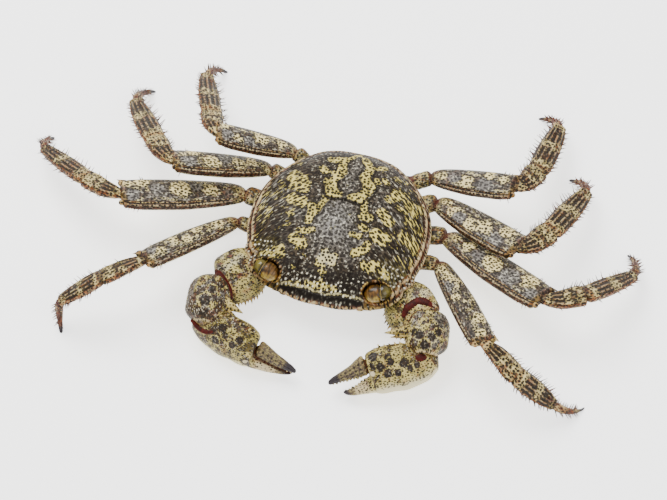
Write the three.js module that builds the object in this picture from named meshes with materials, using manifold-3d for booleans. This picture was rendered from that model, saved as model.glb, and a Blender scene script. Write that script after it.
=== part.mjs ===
// A lightfoot shore crab at life size, a still model.
// Lengths are millimetres and angles degrees. +Z is up, the crab faces -Y,
// and its left side is +X. The floor is z = 0 while the crab is built.
import * as THREE from 'three';
import { mergeVertices } from 'three/addons/utils/BufferGeometryUtils.js';
import Module from 'manifold-3d';

const wasm = await Module();
wasm.setup();

// ---- Driving dimensions ----

// Clear space between pieces that meet at a joint.
const JOINT_GAP = 0.3;

// Body: height of the shell's crown and how fast it falls to the sides,
// the rear and the front (drop = rate times distance squared).
const CROWN_HEIGHT = 19.2;
const SIDE_FALL = 0.0065;
const REAR_FALL = 0.0035;
const FRONT_FALL = 0.0095;
const SHELL_FLOOR = 6.6;

// Half outline of the shell from the middle of the front round to the middle
// of the rear: x, y, rim height, and how late the shell turns down to the rim.
const OUTLINE = {
  frontMiddle: [0, -24.3, 9.5, 16],
  frontLobe: [4.6, -24.3, 9.5, 16],
  frontSide: [8.6, -23.6, 9.6, 14],
  frontCorner: [11.2, -22.7, 9.6, 12],
  belowEye: [14.5, -22.0, 9.2, 9],
  outerEye: [18.0, -20.5, 9.8, 8],
  eyeTooth: [20.5, -19.0, 12.0, 7],
  eyeNotch: [21.2, -16.0, 12.0, 7],
  sideTooth: [22.9, -14.0, 12.0, 7],
  sideNotch: [23.0, -11.2, 11.8, 7],
  foreside: [24.2, -6.5, 11.6, 6],
  widest: [24.5, -0.5, 11.2, 6],
  aftside: [23.8, 5.0, 10.8, 6],
  hindside: [21.6, 10.8, 10.5, 6],
  hindcorner: [18.5, 15.2, 10.4, 6],
  rearcorner: [14.8, 18.8, 10.6, 6],
  rearSide: [11.0, 21.4, 10.8, 6],
  rearLobe: [6.0, 22.8, 11.2, 6],
  rearMiddle: [0, 23.0, 11.5, 6],
};
// Where the rings of the shell lie: 0 is the crown and 1 the rim.
const UPPER_RINGS = [0, 0.45, 0.72, 0.88, 0.96, 1];
// Rings under the rim: outline scale and how far down to the shell's floor.
const LOWER_RINGS = [[0.97, 0.22], [0.88, 0.6], [0.74, 1], [0, 1]];

// Eye socket and eye, on the left side; the right is its mirror image.
const SOCKET_CENTRE = [14.7, -19.4, 12.8];
const SOCKET_SEMI = [4.7, 3.3, 3.1];
const EYE_STALK_FROM = [12.2, -19.8, 11.8];
const EYE_STALK_TO = [16.6, -18.6, 12.7];
const EYE_STALK_RADIUS = 2.0;
const CORNEA_CENTRE = [16.4, -18.6, 12.8];
const CORNEA_SEMI = [1.9, 1.8, 2.0];

// Walking legs, first to fourth. Lengths run merus, carpus, propodus, dactyl;
// widths are the widest of each and the merus is the deepest.
const LEGS = [
  {
    name: 'leg1',
    root: [15.0, -4.4, 6.6],
    hip: { right: [28.2, -4.0, 8.5], left: [28.2, -4.0, 8.5] },
    lengths: [30.0, 12.2, 13.7, 10.4],
    widths: [7.8, 5.8, 6.0, 2.6],
    depth: 3.8,
    bulge: -1,
    right: { turn: [-50, -36, -31, -101], rise: [16, -5, -29], roll: [16, 22, 20, 70] },
    left: { turn: [-56, -32, -8, 26], rise: [14, -10, -38], roll: [9, -2, -10, 160] },
  },
  {
    name: 'leg2',
    root: [15.6, 4.2, 6.6],
    hip: { right: [28.4, 4.9, 8.5], left: [28.4, 4.9, 8.5] },
    lengths: [33.6, 11.1, 20.6, 11.7],
    widths: [10.5, 6.6, 6.0, 2.7],
    depth: 4.2,
    bulge: 1,
    right: { turn: [-21, 15, 33, 84], rise: [11, -2, -19], roll: [10, 22, 19, 20] },
    left: { turn: [-30, 20, 50, 105], rise: [11, 2, -26], roll: [13, 12, 11, 15] },
  },
  {
    name: 'leg3',
    root: [14.4, 12.0, 6.8],
    hip: { right: [23.5, 14.2, 9.0], left: [23.8, 14.2, 9.4] },
    lengths: [27.8, 11.2, 21.0, 12.2],
    widths: [9.7, 6.9, 6.7, 2.8],
    depth: 4.0,
    bulge: 1,
    right: { turn: [-22, 46, 55, 106], rise: [20, -16, -22], roll: [20, 20, 10, 15] },
    left: { turn: [-28, 48, 69, 126], rise: [13, -8, -17], roll: [4, 0, 0, 5] },
  },
  {
    name: 'leg4',
    root: [11.0, 17.6, 7.2],
    hip: { right: [18.1, 20.9, 9.5], left: [20.7, 21.7, 9.6] },
    lengths: [23.4, 10.6, 20.2, 11.4],
    widths: [8.5, 6.6, 6.6, 2.6],
    depth: 3.6,
    bulge: 1,
    right: { turn: [-16, 65, 69, 116], rise: [26, -23, -23], roll: [10, 20, 25, 25] },
    left: { turn: [-4, 61, 81, 138], rise: [14, -16, -15], roll: [2, -4, -5, 0] },
  },
];

// Profiles: how far along, reach of the upper (outer) edge, reach of the lower
// (inner) edge, half thickness and lift, as shares of half width and half depth.
// Room cut out of the body round a limb's root, a little fuller than the limb.
const ROOM_SCALE = 1.16;
const ROOM_SIDES = 6;
const HIP_PROFILE = [
  [0, 0.6, 0.6, 0.6, 0],
  [0.3, 0.92, 0.92, 0.9, 0],
  [0.8, 0.95, 0.95, 0.85, 0],
  [1, 0.6, 0.6, 0.6, 0],
];
const HIP_ROOM_PROFILE = [
  [0, 0.92, 0.92, 0.9, 0],
  [1, 0.95, 0.95, 0.9, 0],
];
const MERUS_PROFILE = [
  [0, 0.4, 0.4, 0.5, 0],
  [0.1, 0.56, 0.62, 0.8, 0],
  [0.3, 0.82, 0.8, 1, 0],
  [0.55, 1.04, 0.92, 1, 0],
  [0.8, 1.04, 0.96, 0.92, 0],
  [0.95, 0.86, 0.9, 0.86, 0],
  [1, 0.6, 0.7, 0.6, 0],
];
const CARPUS_PROFILE = [
  [0, 0.4, 0.36, 0.5, 0],
  [0.14, 0.74, 0.5, 0.7, 0],
  [0.5, 1.1, 0.72, 0.84, 0],
  [0.86, 1.06, 0.96, 0.86, 0],
  [1, 0.8, 0.8, 0.6, 0],
];
const PROPODUS_PROFILE = [
  [0, 0.7, 0.7, 0.5, 0],
  [0.08, 0.94, 0.9, 0.76, 0],
  [0.34, 1.06, 0.96, 0.8, 0],
  [0.68, 0.92, 0.8, 0.7, 0],
  [0.93, 0.62, 0.52, 0.6, 0],
  [1, 0.38, 0.34, 0.4, 0],
];
const DACTYL_PROFILE = [
  [0, 0.6, 0.6, 0.42, 0],
  [0.12, 1.25, 0.6, 0.56, 0],
  [0.35, 1.6, -0.1, 0.5, 0],
  [0.6, 1.55, -0.4, 0.4, 0],
  [0.87, 0.9, -0.2, 0.28, 0],
  [1, 0.3, 0.3, 0.22, 0],
];
const LEG_SIDES = 8;
const FOOT_SINK = 0.22;
const MERUS_SPINE = { length: 2.6, radius: 0.65 };

// Chelipeds (the claw-bearing front limbs), one per side because the two are
// held a little differently. The fixed finger is the end of the palm and the
// other finger is a piece of its own.
const CHELIPEDS = {
  right: {
    root: [-12.0, -10.6, 6.6],
    shoulder: [-17.8, -14.8, 7.6],
    elbow: [-27.4, -23.6, 9.4],
    carpusStart: [-28.0, -22.0, 9.9],
    wrist: [-27.4, -37.2, 8.6],
    palmStart: [-31.4, -33.2, 7.0],
    knuckle: [-13.7, -40.4, 5.6],
    fixedTip: [-2.8, -42.0, 2.8],
    pivot: [-13.6, -39.0, 6.6],
    fingerTip: [-1.8, -42.1, 3.8],
    roll: { merus: -25, carpus: 0, palm: 62 },
    lobe: [0.64, -8.8],
  },
  left: {
    root: [12.0, -10.6, 6.6],
    shoulder: [18.6, -13.6, 7.6],
    elbow: [28.4, -23.2, 9.4],
    carpusStart: [27.4, -18.8, 9.9],
    wrist: [29.6, -32.6, 8.8],
    palmStart: [33.2, -29.6, 7.4],
    knuckle: [17.9, -39.7, 5.4],
    fixedTip: [11.5, -44.3, 2.9],
    pivot: [16.6, -36.9, 7.4],
    fingerTip: [7.3, -43.6, 4.4],
    roll: { merus: -25, carpus: 0, palm: 36 },
    lobe: [0.57, -10.2],
  },
};
// Cheliped profiles, in mm: along (share), upper edge, lower edge, half
// thickness and lift.
const CLAW_BASE_PROFILE = [
  [0, 2.2, 2.2, 1.8, 0],
  [0.4, 3.2, 3.2, 2.4, 0],
  [1, 2.4, 2.4, 1.8, 0],
];
const CLAW_MERUS_PROFILE = [
  [0, 2.4, 2.4, 1.8, 0],
  [0.15, 5.8, 5.4, 2.8, 0],
  [0.5, 7.8, 7.0, 3.4, 0],
  [0.85, 7.6, 6.6, 3.6, 0],
  [1, 4.6, 4.6, 2.8, 0],
];
const CLAW_CARPUS_PROFILE = [
  [0, 2.6, 2.0, 1.8, 0],
  [0.12, 5.0, 3.6, 3.2, 0],
  [0.4, 6.8, 4.6, 4.4, 0],
  [0.7, 6.6, 4.6, 4.4, 0],
  [0.92, 4.6, 3.4, 3.2, 0],
  [1, 2.6, 2.0, 2.0, 0],
];
const PALM_PROFILE = [
  [0, 2.0, 2.0, 1.8, 0],
  [0.08, 3.4, 4.2, 3.0, 0],
  [0.3, 5.0, 6.0, 3.7, 0],
  [0.55, 6.4, 6.3, 3.9, 0],
  [0.78, 7.0, 5.4, 3.8, 0],
  [0.93, 6.6, 5.0, 3.3, 0],
  [1, 5.4, 4.5, 2.6, 0],
];
const FIXED_FINGER_PROFILE = [
  [-0.3, 0.4, 3.4, 2.2, 0],
  [0.05, 0.2, 4.0, 2.2, 0],
  [0.4, 0, 3.1, 1.8, 0],
  [0.75, 0, 1.9, 1.2, 0],
  [0.94, 0.2, 0.9, 0.7, 0],
  [1, 0.3, 0.4, 0.4, 0],
];
const FINGER_PROFILE = [
  [0, 1.6, 1.6, 1.2, 0],
  [0.08, 2.7, 2.4, 1.9, 0],
  [0.4, 1.6, 1.6, 1.7, 0],
  [0.75, 1.3, 0.9, 1.2, 0],
  [0.94, 1.0, 0.5, 0.7, 0],
  [1, 0.5, 0.4, 0.4, 0],
];
const CLAW_SIDES = 10;

// Belly plates: along, half width, half width, half thickness, lift.
const STERNUM_FROM = [0, -12.6, 4.7];
const STERNUM_TO = [0, 18.4, 4.7];
const STERNUM_PROFILE = [
  [0, 3.4, 3.4, 0.7, 0],
  [0.1, 7.6, 7.6, 1.3, 0],
  [0.35, 13.4, 13.4, 1.5, 0],
  [0.7, 13.0, 13.0, 1.5, 0],
  [0.92, 8.6, 8.6, 1.4, 0],
  [1, 5.4, 5.4, 0.8, 0],
];
const ABDOMEN_FROM = [0, -7.0, 2.2];
const ABDOMEN_TO = [0, 21.4, 2.2];
const ABDOMEN_PROFILE = [
  [0, 0.9, 0.9, 0.3, 0],
  [0.08, 2.0, 2.0, 0.45, 0],
  [0.35, 3.2, 3.2, 0.5, 0],
  [0.62, 5.4, 5.4, 0.5, 0.1],
  [0.82, 6.2, 6.2, 0.6, 0.9],
  [0.94, 6.0, 6.0, 0.8, 2.8],
  [1, 5.6, 5.6, 1.0, 5.0],
];
const JAW_FROM = [3.1, -13.4, 4.0];
const JAW_TO = [3.1, -20.0, 7.9];
const JAW_PROFILE = [
  [0, 1.6, 1.6, 0.6, 0],
  [0.12, 2.6, 2.6, 0.9, 0],
  [0.8, 2.7, 2.7, 0.9, 0],
  [1, 1.7, 1.7, 0.6, 0],
];
const ANTENNA_FROM = [9.6, -22.7, 8.7];
const ANTENNA_TO = [14.2, -22.0, 8.0];
const ANTENNA_PROFILE = [
  [0, 0.5, 0.5, 0.5, 0],
  [0.2, 0.75, 0.75, 0.7, 0],
  [0.45, 0.42, 0.42, 0.4, 0],
  [1, 0.3, 0.3, 0.3, 0],
];

// ---- Materials ----

const LOOKS = {
  carapace_shell: [0x8b8468, 0.42],
  leg_shell: [0x9c8c68, 0.45],
  claw_shell: [0xa59d74, 0.38],
  underside_shell: [0xd9d2bb, 0.5],
  eye: [0x8a6a3a, 0.15],
};

// ---- Geometry helpers ----

const rad = THREE.MathUtils.degToRad;
const point = (values) => new THREE.Vector3(...values);

// Turn a closed geometry into a solid, with its faces pointing outward.
function toSolid(source) {
  const bare = source.clone();
  bare.deleteAttribute('normal');
  bare.deleteAttribute('uv');
  const merged = mergeVertices(bare, 1e-4);
  const corners = [];
  const index = merged.index.array;
  for (let i = 0; i < index.length; i += 3) {
    const [a, b, c] = [index[i], index[i + 1], index[i + 2]];
    if (a !== b && b !== c && c !== a) {
      corners.push(a, b, c);
    }
  }
  const places = merged.attributes.position;
  let volume = 0;
  const [p, q, r] = [new THREE.Vector3(), new THREE.Vector3(), new THREE.Vector3()];
  for (let i = 0; i < corners.length; i += 3) {
    p.fromBufferAttribute(places, corners[i]);
    q.fromBufferAttribute(places, corners[i + 1]);
    r.fromBufferAttribute(places, corners[i + 2]);
    volume += p.dot(q.cross(r));
  }
  if (volume < 0) {
    corners.reverse();
  }
  const mesh = new wasm.Mesh({
    numProp: 3,
    vertProperties: Float32Array.from(places.array),
    triVerts: Uint32Array.from(corners),
  });
  return new wasm.Manifold(mesh);
}

// Keep only the largest body of a solid.
function mainBody(solid) {
  const bodies = solid.simplify(0.04).decompose();
  bodies.sort((a, b) => b.volume() - a.volume());
  return bodies[0];
}

function toGeometry(solid) {
  const mesh = solid.getMesh();
  const geometry = new THREE.BufferGeometry();
  geometry.setAttribute('position', new THREE.BufferAttribute(mesh.vertProperties, 3));
  geometry.setIndex(new THREE.BufferAttribute(mesh.triVerts, 1));
  geometry.computeVertexNormals();
  return geometry;
}

// The axes of a flat limb: along it, across its width toward the outer edge,
// and out of its upper face. Roll tips the upper face to the rear.
function limbFrame(from, to, roll, side) {
  const start = point(from);
  const along = point(to).sub(start);
  const length = along.length();
  along.normalize();
  const up = new THREE.Vector3(0, 0, 1).addScaledVector(along, -along.z).normalize();
  const across = new THREE.Vector3().crossVectors(along, up).multiplyScalar(side);
  const normal = up.multiplyScalar(Math.cos(rad(roll))).addScaledVector(across, -Math.sin(rad(roll)));
  const width = new THREE.Vector3().crossVectors(along, normal).multiplyScalar(side);
  return { start, along, width, normal, length };
}

// A closed limb: a cylinder whose rings follow a profile along the frame.
// Grow makes it larger all round, for cutting a clear joint in a neighbour.
function limb(frame, profile, halfWidth, halfDepth, sides, grow = 0) {
  const last = profile.length - 1;
  const cylinder = new THREE.CylinderGeometry(1, 1, 1, sides, last);
  const place = cylinder.attributes.position;
  for (let i = 0; i < place.count; i += 1) {
    const [x, y, z] = [place.getX(i), place.getY(i), place.getZ(i)];
    const station = profile[Math.round((0.5 - y) * last)];
    const [share, upper, lower, thick, lift] = station;
    const top = upper * halfWidth + grow;
    const bottom = lower * halfWidth + grow;
    const deep = thick * halfDepth + grow;
    const reach = frame.length * share + (share === 0 ? -grow : 0) + (share === 1 ? grow : 0);
    const across = (top - bottom) / 2 + (x * (top + bottom)) / 2;
    const out = z * deep + lift * halfDepth;
    const spot = frame.start.clone();
    spot.addScaledVector(frame.along, reach);
    spot.addScaledVector(frame.width, across);
    spot.addScaledVector(frame.normal, out);
    place.setXYZ(i, spot.x, spot.y, spot.z);
  }
  return toSolid(cylinder);
}

// A cone whose tip is at one point and whose base is centred on another.
function spike(base, tip, radius, sides = 6) {
  const from = point(base);
  const axis = point(tip).sub(from);
  const cone = new THREE.ConeGeometry(radius, axis.length(), sides);
  cone.translate(0, axis.length() / 2, 0);
  const turn = new THREE.Quaternion();
  turn.setFromUnitVectors(new THREE.Vector3(0, 1, 0), axis.clone().normalize());
  cone.applyQuaternion(turn);
  cone.translate(from.x, from.y, from.z);
  return toSolid(cone);
}

function ellipsoid(centre, semi, across, down, grow = 0) {
  const ball = new THREE.SphereGeometry(1, across, down);
  ball.scale(semi[0] + grow, semi[1] + grow, semi[2] + grow);
  ball.translate(...centre);
  return toSolid(ball);
}

const mirrored = (values) => [-values[0], values[1], values[2]];
const onSide = (values, side) => (side > 0 ? values : mirrored(values));

// The point at a given share along a limb, out from its axis.
function onLimb(frame, share, across, out) {
  const spot = frame.start.clone();
  spot.addScaledVector(frame.along, frame.length * share);
  spot.addScaledVector(frame.width, across);
  spot.addScaledVector(frame.normal, out);
  return spot.toArray();
}

// The far end of a segment from its near end, its turn from straight out to
// the side (positive is rearward) and its rise from level.
function farEnd(from, length, turn, rise, side) {
  const flat = length * Math.cos(rad(rise));
  return [
    from[0] + side * flat * Math.cos(rad(turn)),
    from[1] + flat * Math.sin(rad(turn)),
    from[2] + length * Math.sin(rad(rise)),
  ];
}

// ---- Shell ----

function crown(x, y) {
  const fall = y > 0 ? REAR_FALL : FRONT_FALL;
  return CROWN_HEIGHT - SIDE_FALL * x * x - fall * y * y;
}

function shellSolid() {
  const half = Object.values(OUTLINE);
  const back = half.slice(1, -1).reverse();
  const loop = [...half, ...back.map(([x, y, z, late]) => [-x, y, z, late])];
  const rows = UPPER_RINGS.length + LOWER_RINGS.length;
  const ball = new THREE.SphereGeometry(1, loop.length, rows - 1);
  const place = ball.attributes.position;
  for (let i = 0; i < place.count; i += 1) {
    const column = i % (loop.length + 1);
    const row = Math.floor(i / (loop.length + 1));
    const [x, y, rim, late] = loop[column % loop.length];
    if (row < UPPER_RINGS.length) {
      const share = UPPER_RINGS[row];
      const [px, py] = [x * share, y * share];
      const height = crown(px, py) - (crown(x, y) - rim) * share ** late;
      place.setXYZ(i, px, py, height);
    } else {
      const [share, down] = LOWER_RINGS[row - UPPER_RINGS.length];
      place.setXYZ(i, x * share, y * share, rim + (SHELL_FLOOR - rim) * down);
    }
  }
  return toSolid(ball);
}

function eyeSolid(side, grow = 0) {
  const stalk = limb(
    limbFrame(onSide(EYE_STALK_FROM, side), onSide(EYE_STALK_TO, side), 0, side),
    [[0, 0.6, 0.6, 0.6, 0], [0.25, 0.95, 0.95, 0.95, 0], [0.8, 0.95, 0.95, 0.95, 0], [1, 0.7, 0.7, 0.7, 0]],
    EYE_STALK_RADIUS, EYE_STALK_RADIUS, 8, grow,
  );
  return stalk.add(ellipsoid(onSide(CORNEA_CENTRE, side), CORNEA_SEMI, 8, 6, grow));
}

// ---- Assembly ----

const solids = {};
const looks = {};
function keep(name, solid, look) {
  solids[name] = solid;
  looks[name] = look;
}

let shell = shellSolid();
let belly = limb(limbFrame(STERNUM_FROM, STERNUM_TO, 0, 1), STERNUM_PROFILE, 1, 1, 14);
const sides = { right: -1, left: 1 };

for (const [sideName, side] of Object.entries(sides)) {
  const socket = ellipsoid(onSide(SOCKET_CENTRE, side), SOCKET_SEMI, 12, 8);
  shell = shell.subtract(socket);
  keep(`eye_${sideName}`, eyeSolid(side), 'eye');

  const jawFrame = limbFrame(onSide(JAW_FROM, side), onSide(JAW_TO, side), 0, side);
  keep(`maxilliped_${sideName}`, limb(jawFrame, JAW_PROFILE, 1, 1, 8), 'underside_shell');
  const jawRoom = limb(jawFrame, JAW_PROFILE, 1, 1, 8, JOINT_GAP);
  shell = shell.subtract(jawRoom);
  belly = belly.subtract(jawRoom);

  const whipFrame = limbFrame(onSide(ANTENNA_FROM, side), onSide(ANTENNA_TO, side), 0, side);
  keep(`antenna_${sideName}`, limb(whipFrame, ANTENNA_PROFILE, 1, 1, 6), 'leg_shell');
  shell = shell.subtract(limb(whipFrame, ANTENNA_PROFILE, 1, 1, 6, JOINT_GAP));
}

// Walking legs.
for (const leg of LEGS) {
  for (const [sideName, side] of Object.entries(sides)) {
    const pose = leg[sideName];
    const joints = [onSide(leg.hip[sideName], side)];
    for (let i = 0; i < 3; i += 1) {
      joints.push(farEnd(joints[i], leg.lengths[i], pose.turn[i], pose.rise[i], side));
    }
    // The last segment drops so that its tip just reaches the floor.
    const drop = Math.asin((joints[3][2] + FOOT_SINK) / leg.lengths[3]);
    const dactylRise = -THREE.MathUtils.radToDeg(drop);
    joints.push(farEnd(joints[3], leg.lengths[3], pose.turn[3], dactylRise, side));

    const [merusHalf, carpusHalf, propodusHalf, dactylHalf] = leg.widths.map((w) => w / 2);
    const deep = leg.depth / 2;
    const base = limbFrame(onSide(leg.root, side), joints[0], pose.roll[0], side);
    const frames = [0, 1, 2, 3].map((i) => limbFrame(joints[i], joints[i + 1], pose.roll[i], side));
    frames.forEach((frame) => frame.width.multiplyScalar(leg.bulge));
    const shape = {
      base: (grow) => limb(base, HIP_PROFILE, merusHalf * 0.72, deep * 1.35, LEG_SIDES, grow),
      merus: (grow) => limb(frames[0], MERUS_PROFILE, merusHalf, deep, LEG_SIDES, grow),
      carpus: (grow) => limb(frames[1], CARPUS_PROFILE, carpusHalf, deep, LEG_SIDES, grow),
      propodus: (grow) => limb(frames[2], PROPODUS_PROFILE, propodusHalf, deep, LEG_SIDES, grow),
      dactyl: (grow) => limb(frames[3], DACTYL_PROFILE, dactylHalf, deep, 6, grow),
    };
    const names = Object.keys(shape);
    names.forEach((name, i) => {
      let solid = shape[name](0);
      if (name === 'merus') {
        const root = onLimb(frames[0], 0.92, -leg.bulge * merusHalf * 0.66, 0);
        const tip = onLimb(frames[0], 1.01, -leg.bulge * (merusHalf * 0.9 + MERUS_SPINE.length * 0.4), 0);
        solid = solid.add(spike(root, tip, MERUS_SPINE.radius));
      }
      // Each segment is cut back to clear the next one out.
      if (i + 1 < names.length) {
        solid = solid.subtract(shape[names[i + 1]](JOINT_GAP));
      }
      if (name === 'dactyl') {
        solid = solid.trimByPlane([0, 0, 1], 0);
      }
      keep(`${leg.name}_${sideName}_${name}`, mainBody(solid), 'leg_shell');
    });
    const [wide, tall] = [merusHalf * 0.72 * ROOM_SCALE, deep * 1.35 * ROOM_SCALE];
    const room = limb(base, HIP_ROOM_PROFILE, wide, tall, ROOM_SIDES, JOINT_GAP);
    shell = shell.subtract(room);
    belly = belly.subtract(room);
  }
}

// Chelipeds.
for (const [sideName, side] of Object.entries(sides)) {
  const claw = CHELIPEDS[sideName];
  const baseFrame = limbFrame(claw.root, claw.shoulder, 0, side);
  const merusFrame = limbFrame(claw.shoulder, claw.elbow, claw.roll.merus, side);
  const carpusFrame = limbFrame(claw.carpusStart, claw.wrist, claw.roll.carpus, -side);
  const palmFrame = limbFrame(claw.palmStart, claw.knuckle, claw.roll.palm, side);
  const tipFrame = limbFrame(claw.knuckle, claw.fixedTip, claw.roll.palm, side);
  const fingerFrame = limbFrame(claw.pivot, claw.fingerTip, claw.roll.palm, side);
  const shape = {
    base: (grow) => limb(baseFrame, CLAW_BASE_PROFILE, 1, 1, 8, grow),
    merus: (grow) => limb(merusFrame, CLAW_MERUS_PROFILE, 1, 1, CLAW_SIDES, grow),
    carpus: (grow) => limb(carpusFrame, CLAW_CARPUS_PROFILE, 1, 1, CLAW_SIDES, grow),
    palm: (grow) => limb(palmFrame, PALM_PROFILE, 1, 1, CLAW_SIDES, grow),
    finger: (grow) => limb(fingerFrame, FINGER_PROFILE, 1, 1, 8, grow),
  };
  const pieces = {
    base: shape.base(0).subtract(shape.merus(JOINT_GAP)),
    merus: shape.merus(0).subtract(shape.carpus(JOINT_GAP)).subtract(shape.palm(JOINT_GAP)),
    carpus: shape.carpus(0),
    palm: shape.palm(0).add(limb(tipFrame, FIXED_FINGER_PROFILE, 1, 1, 8)),
    finger: shape.finger(0),
  };
  const [lobeShare, lobeReach] = claw.lobe;
  const lobeRoot = onLimb(carpusFrame, 0.5, -2.8, 1);
  const lobe = spike(lobeRoot, onLimb(carpusFrame, lobeShare, lobeReach, 0.6), 2.2, 8);
  const lobeRoom = spike(lobeRoot, onLimb(carpusFrame, lobeShare, lobeReach - 1, 0.6), 2.8, 8);
  pieces.carpus = pieces.carpus.add(lobe);
  pieces.merus = pieces.merus.subtract(lobeRoom);
  pieces.palm = pieces.palm.subtract(shape.carpus(JOINT_GAP)).subtract(shape.finger(JOINT_GAP));
  for (const [name, solid] of Object.entries(pieces)) {
    keep(`cheliped_${sideName}_${name}`, mainBody(solid), 'claw_shell');
  }
  const rooms = [
    limb(baseFrame, CLAW_BASE_PROFILE, ROOM_SCALE, ROOM_SCALE, ROOM_SIDES, JOINT_GAP),
    limb(merusFrame, CLAW_MERUS_PROFILE, ROOM_SCALE, ROOM_SCALE, ROOM_SIDES, JOINT_GAP),
  ];
  for (const room of rooms) {
    shell = shell.subtract(room);
    belly = belly.subtract(room);
  }
}

const tail = (grow) => limb(limbFrame(ABDOMEN_FROM, ABDOMEN_TO, 0, 1), ABDOMEN_PROFILE, 1, 1, 10, grow);
keep('abdomen', tail(0), 'underside_shell');
keep('sternum', mainBody(belly.subtract(tail(JOINT_GAP))), 'underside_shell');
keep('carapace', mainBody(shell.subtract(tail(JOINT_GAP))), 'carapace_shell');

const crab = new THREE.Group();
crab.name = 'shore_crab';
for (const [name, solid] of Object.entries(solids)) {
  const [colour, roughness] = LOOKS[looks[name]];
  const material = new THREE.MeshStandardMaterial({ color: colour, roughness, metalness: 0 });
  const mesh = new THREE.Mesh(toGeometry(solid), material);
  mesh.name = name;
  crab.add(mesh);
}

// Stand the crab on the floor with the middle of its footprint at the origin.
const box = new THREE.Box3().setFromObject(crab);
const centre = box.getCenter(new THREE.Vector3());
crab.position.set(-centre.x, -centre.y, -box.min.z);
crab.updateMatrixWorld(true);

export default crab;
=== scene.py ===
import math

import bmesh
import bpy
import numpy as np
from mathutils import Matrix, Vector
from mathutils.bvhtree import BVHTree


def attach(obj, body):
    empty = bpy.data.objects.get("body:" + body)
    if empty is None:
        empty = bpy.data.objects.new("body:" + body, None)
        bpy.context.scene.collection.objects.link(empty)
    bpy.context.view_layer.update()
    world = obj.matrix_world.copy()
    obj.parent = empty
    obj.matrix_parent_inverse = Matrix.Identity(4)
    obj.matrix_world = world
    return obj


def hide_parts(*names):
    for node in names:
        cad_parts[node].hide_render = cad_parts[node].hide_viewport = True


bl_info = {
    "name": "Shore crab",
    "version": (1, 0, 0),
    "blender": (4, 5, 0),
    "location": "View3D > Sidebar > Crab",
    "description": "A life-size lightfoot shore crab, built piece by piece",
    "category": "Add Mesh",
}

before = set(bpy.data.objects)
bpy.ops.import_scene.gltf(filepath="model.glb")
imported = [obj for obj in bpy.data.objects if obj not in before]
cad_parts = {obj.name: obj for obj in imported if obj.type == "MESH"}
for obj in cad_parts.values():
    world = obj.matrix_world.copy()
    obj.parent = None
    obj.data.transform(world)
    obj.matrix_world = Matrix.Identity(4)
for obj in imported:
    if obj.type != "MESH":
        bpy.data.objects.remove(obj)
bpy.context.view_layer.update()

# The crab is laid out in millimetres from the middle of its own body, and then
# set over the middle of its footprint. It faces -Y and its left side is +X.
MM = 0.001
BODY_PLACE = np.array((4.110, -4.863, 0.0))
SIDES = {"right": -1, "left": 1}
MARKS = ("cream", "pale", "dark", "dots", "warm", "olive", "line", "horn", "joint")

# ---- The back shell ----

# Half outline: x, y, rim height, and how late the shell turns down to the rim.
SHELL_OUTLINE = {
    "front middle": (0, -24.3, 9.5, 16),
    "front lobe": (4.6, -24.3, 9.5, 16),
    "front side": (8.6, -23.6, 9.6, 14),
    "front corner": (11.2, -22.7, 9.6, 12),
    "below eye": (14.5, -22.0, 9.2, 9),
    "outer eye": (18.0, -20.5, 9.8, 8),
    "eye tooth": (20.5, -19.0, 12.0, 7),
    "eye notch": (21.2, -16.0, 12.0, 7),
    "side tooth": (22.9, -14.0, 12.0, 7),
    "side notch": (23.0, -11.2, 11.8, 7),
    "foreside": (24.2, -6.5, 11.6, 6),
    "widest": (24.5, -0.5, 11.2, 6),
    "aftside": (23.8, 5.0, 10.8, 6),
    "hindside": (21.6, 10.8, 10.5, 6),
    "hind corner": (18.5, 15.2, 10.4, 6),
    "rear corner": (14.8, 18.8, 10.6, 6),
    "rear side": (11.0, 21.4, 10.8, 6),
    "rear lobe": (6.0, 22.8, 11.2, 6),
    "rear middle": (0, 23.0, 11.5, 6),
}
# Rings under the rim: outline scale and share of the way down to the floor.
SHELL_UNDER = ((0.99, 0.06), (0.975, 0.18), (0.95, 0.34), (0.91, 0.52), (0.87, 0.7), (0.81, 0.88), (0.74, 1.0))
SOCKET_CENTRE = {"left": (14.1, -18.9, 12.9), "right": (-15.3, -18.9, 12.7)}
SOCKET_SEMI = (3.8, 2.7, 2.8)
SOCKET_MOUTH = (0.8, -1.4, 2.3)

# Furrows: strokes from x, y to x, y, then half width, depth and how dark the painted shade in it is. Both sides.
FURROWS = (
    (0.0, 2.9, 1.4, 3.2, 0.35, 0.5, 0.85),
    (1.4, 3.2, 3.4, 2.6, 0.35, 0.55, 0.95),
    (3.4, 2.6, 5.0, 3.1, 0.35, 0.5, 0.9),
    (5.0, 3.1, 6.0, 5.4, 0.35, 0.35, 0.6),
    (5.4, 2.6, 7.2, -1.6, 0.5, 0.2, 0.15),
    (7.2, -1.6, 10.2, -6.8, 0.6, 0.15, 0.0),
    (10.2, -6.8, 14.0, -11.6, 0.6, 0.2, 0.1),
    (14.0, -11.6, 20.0, -15.4, 0.5, 0.3, 0.35),
    (6.0, 5.4, 5.2, 9.6, 0.5, 0.25, 0.25),
    (5.2, 9.6, 6.2, 14.5, 0.6, 0.2, 0.2),
    (6.2, 14.5, 6.4, 20.0, 0.6, 0.2, 0.15),
    (0.0, -20.8, 0.0, -15.5, 0.25, 0.25, 0.15),
    (6.6, -20.6, 6.9, -16.2, 0.4, 0.35, 0.4),
    (0.0, -15.5, 2.6, -10.5, 0.5, 0.12, 0.0),
)
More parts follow.
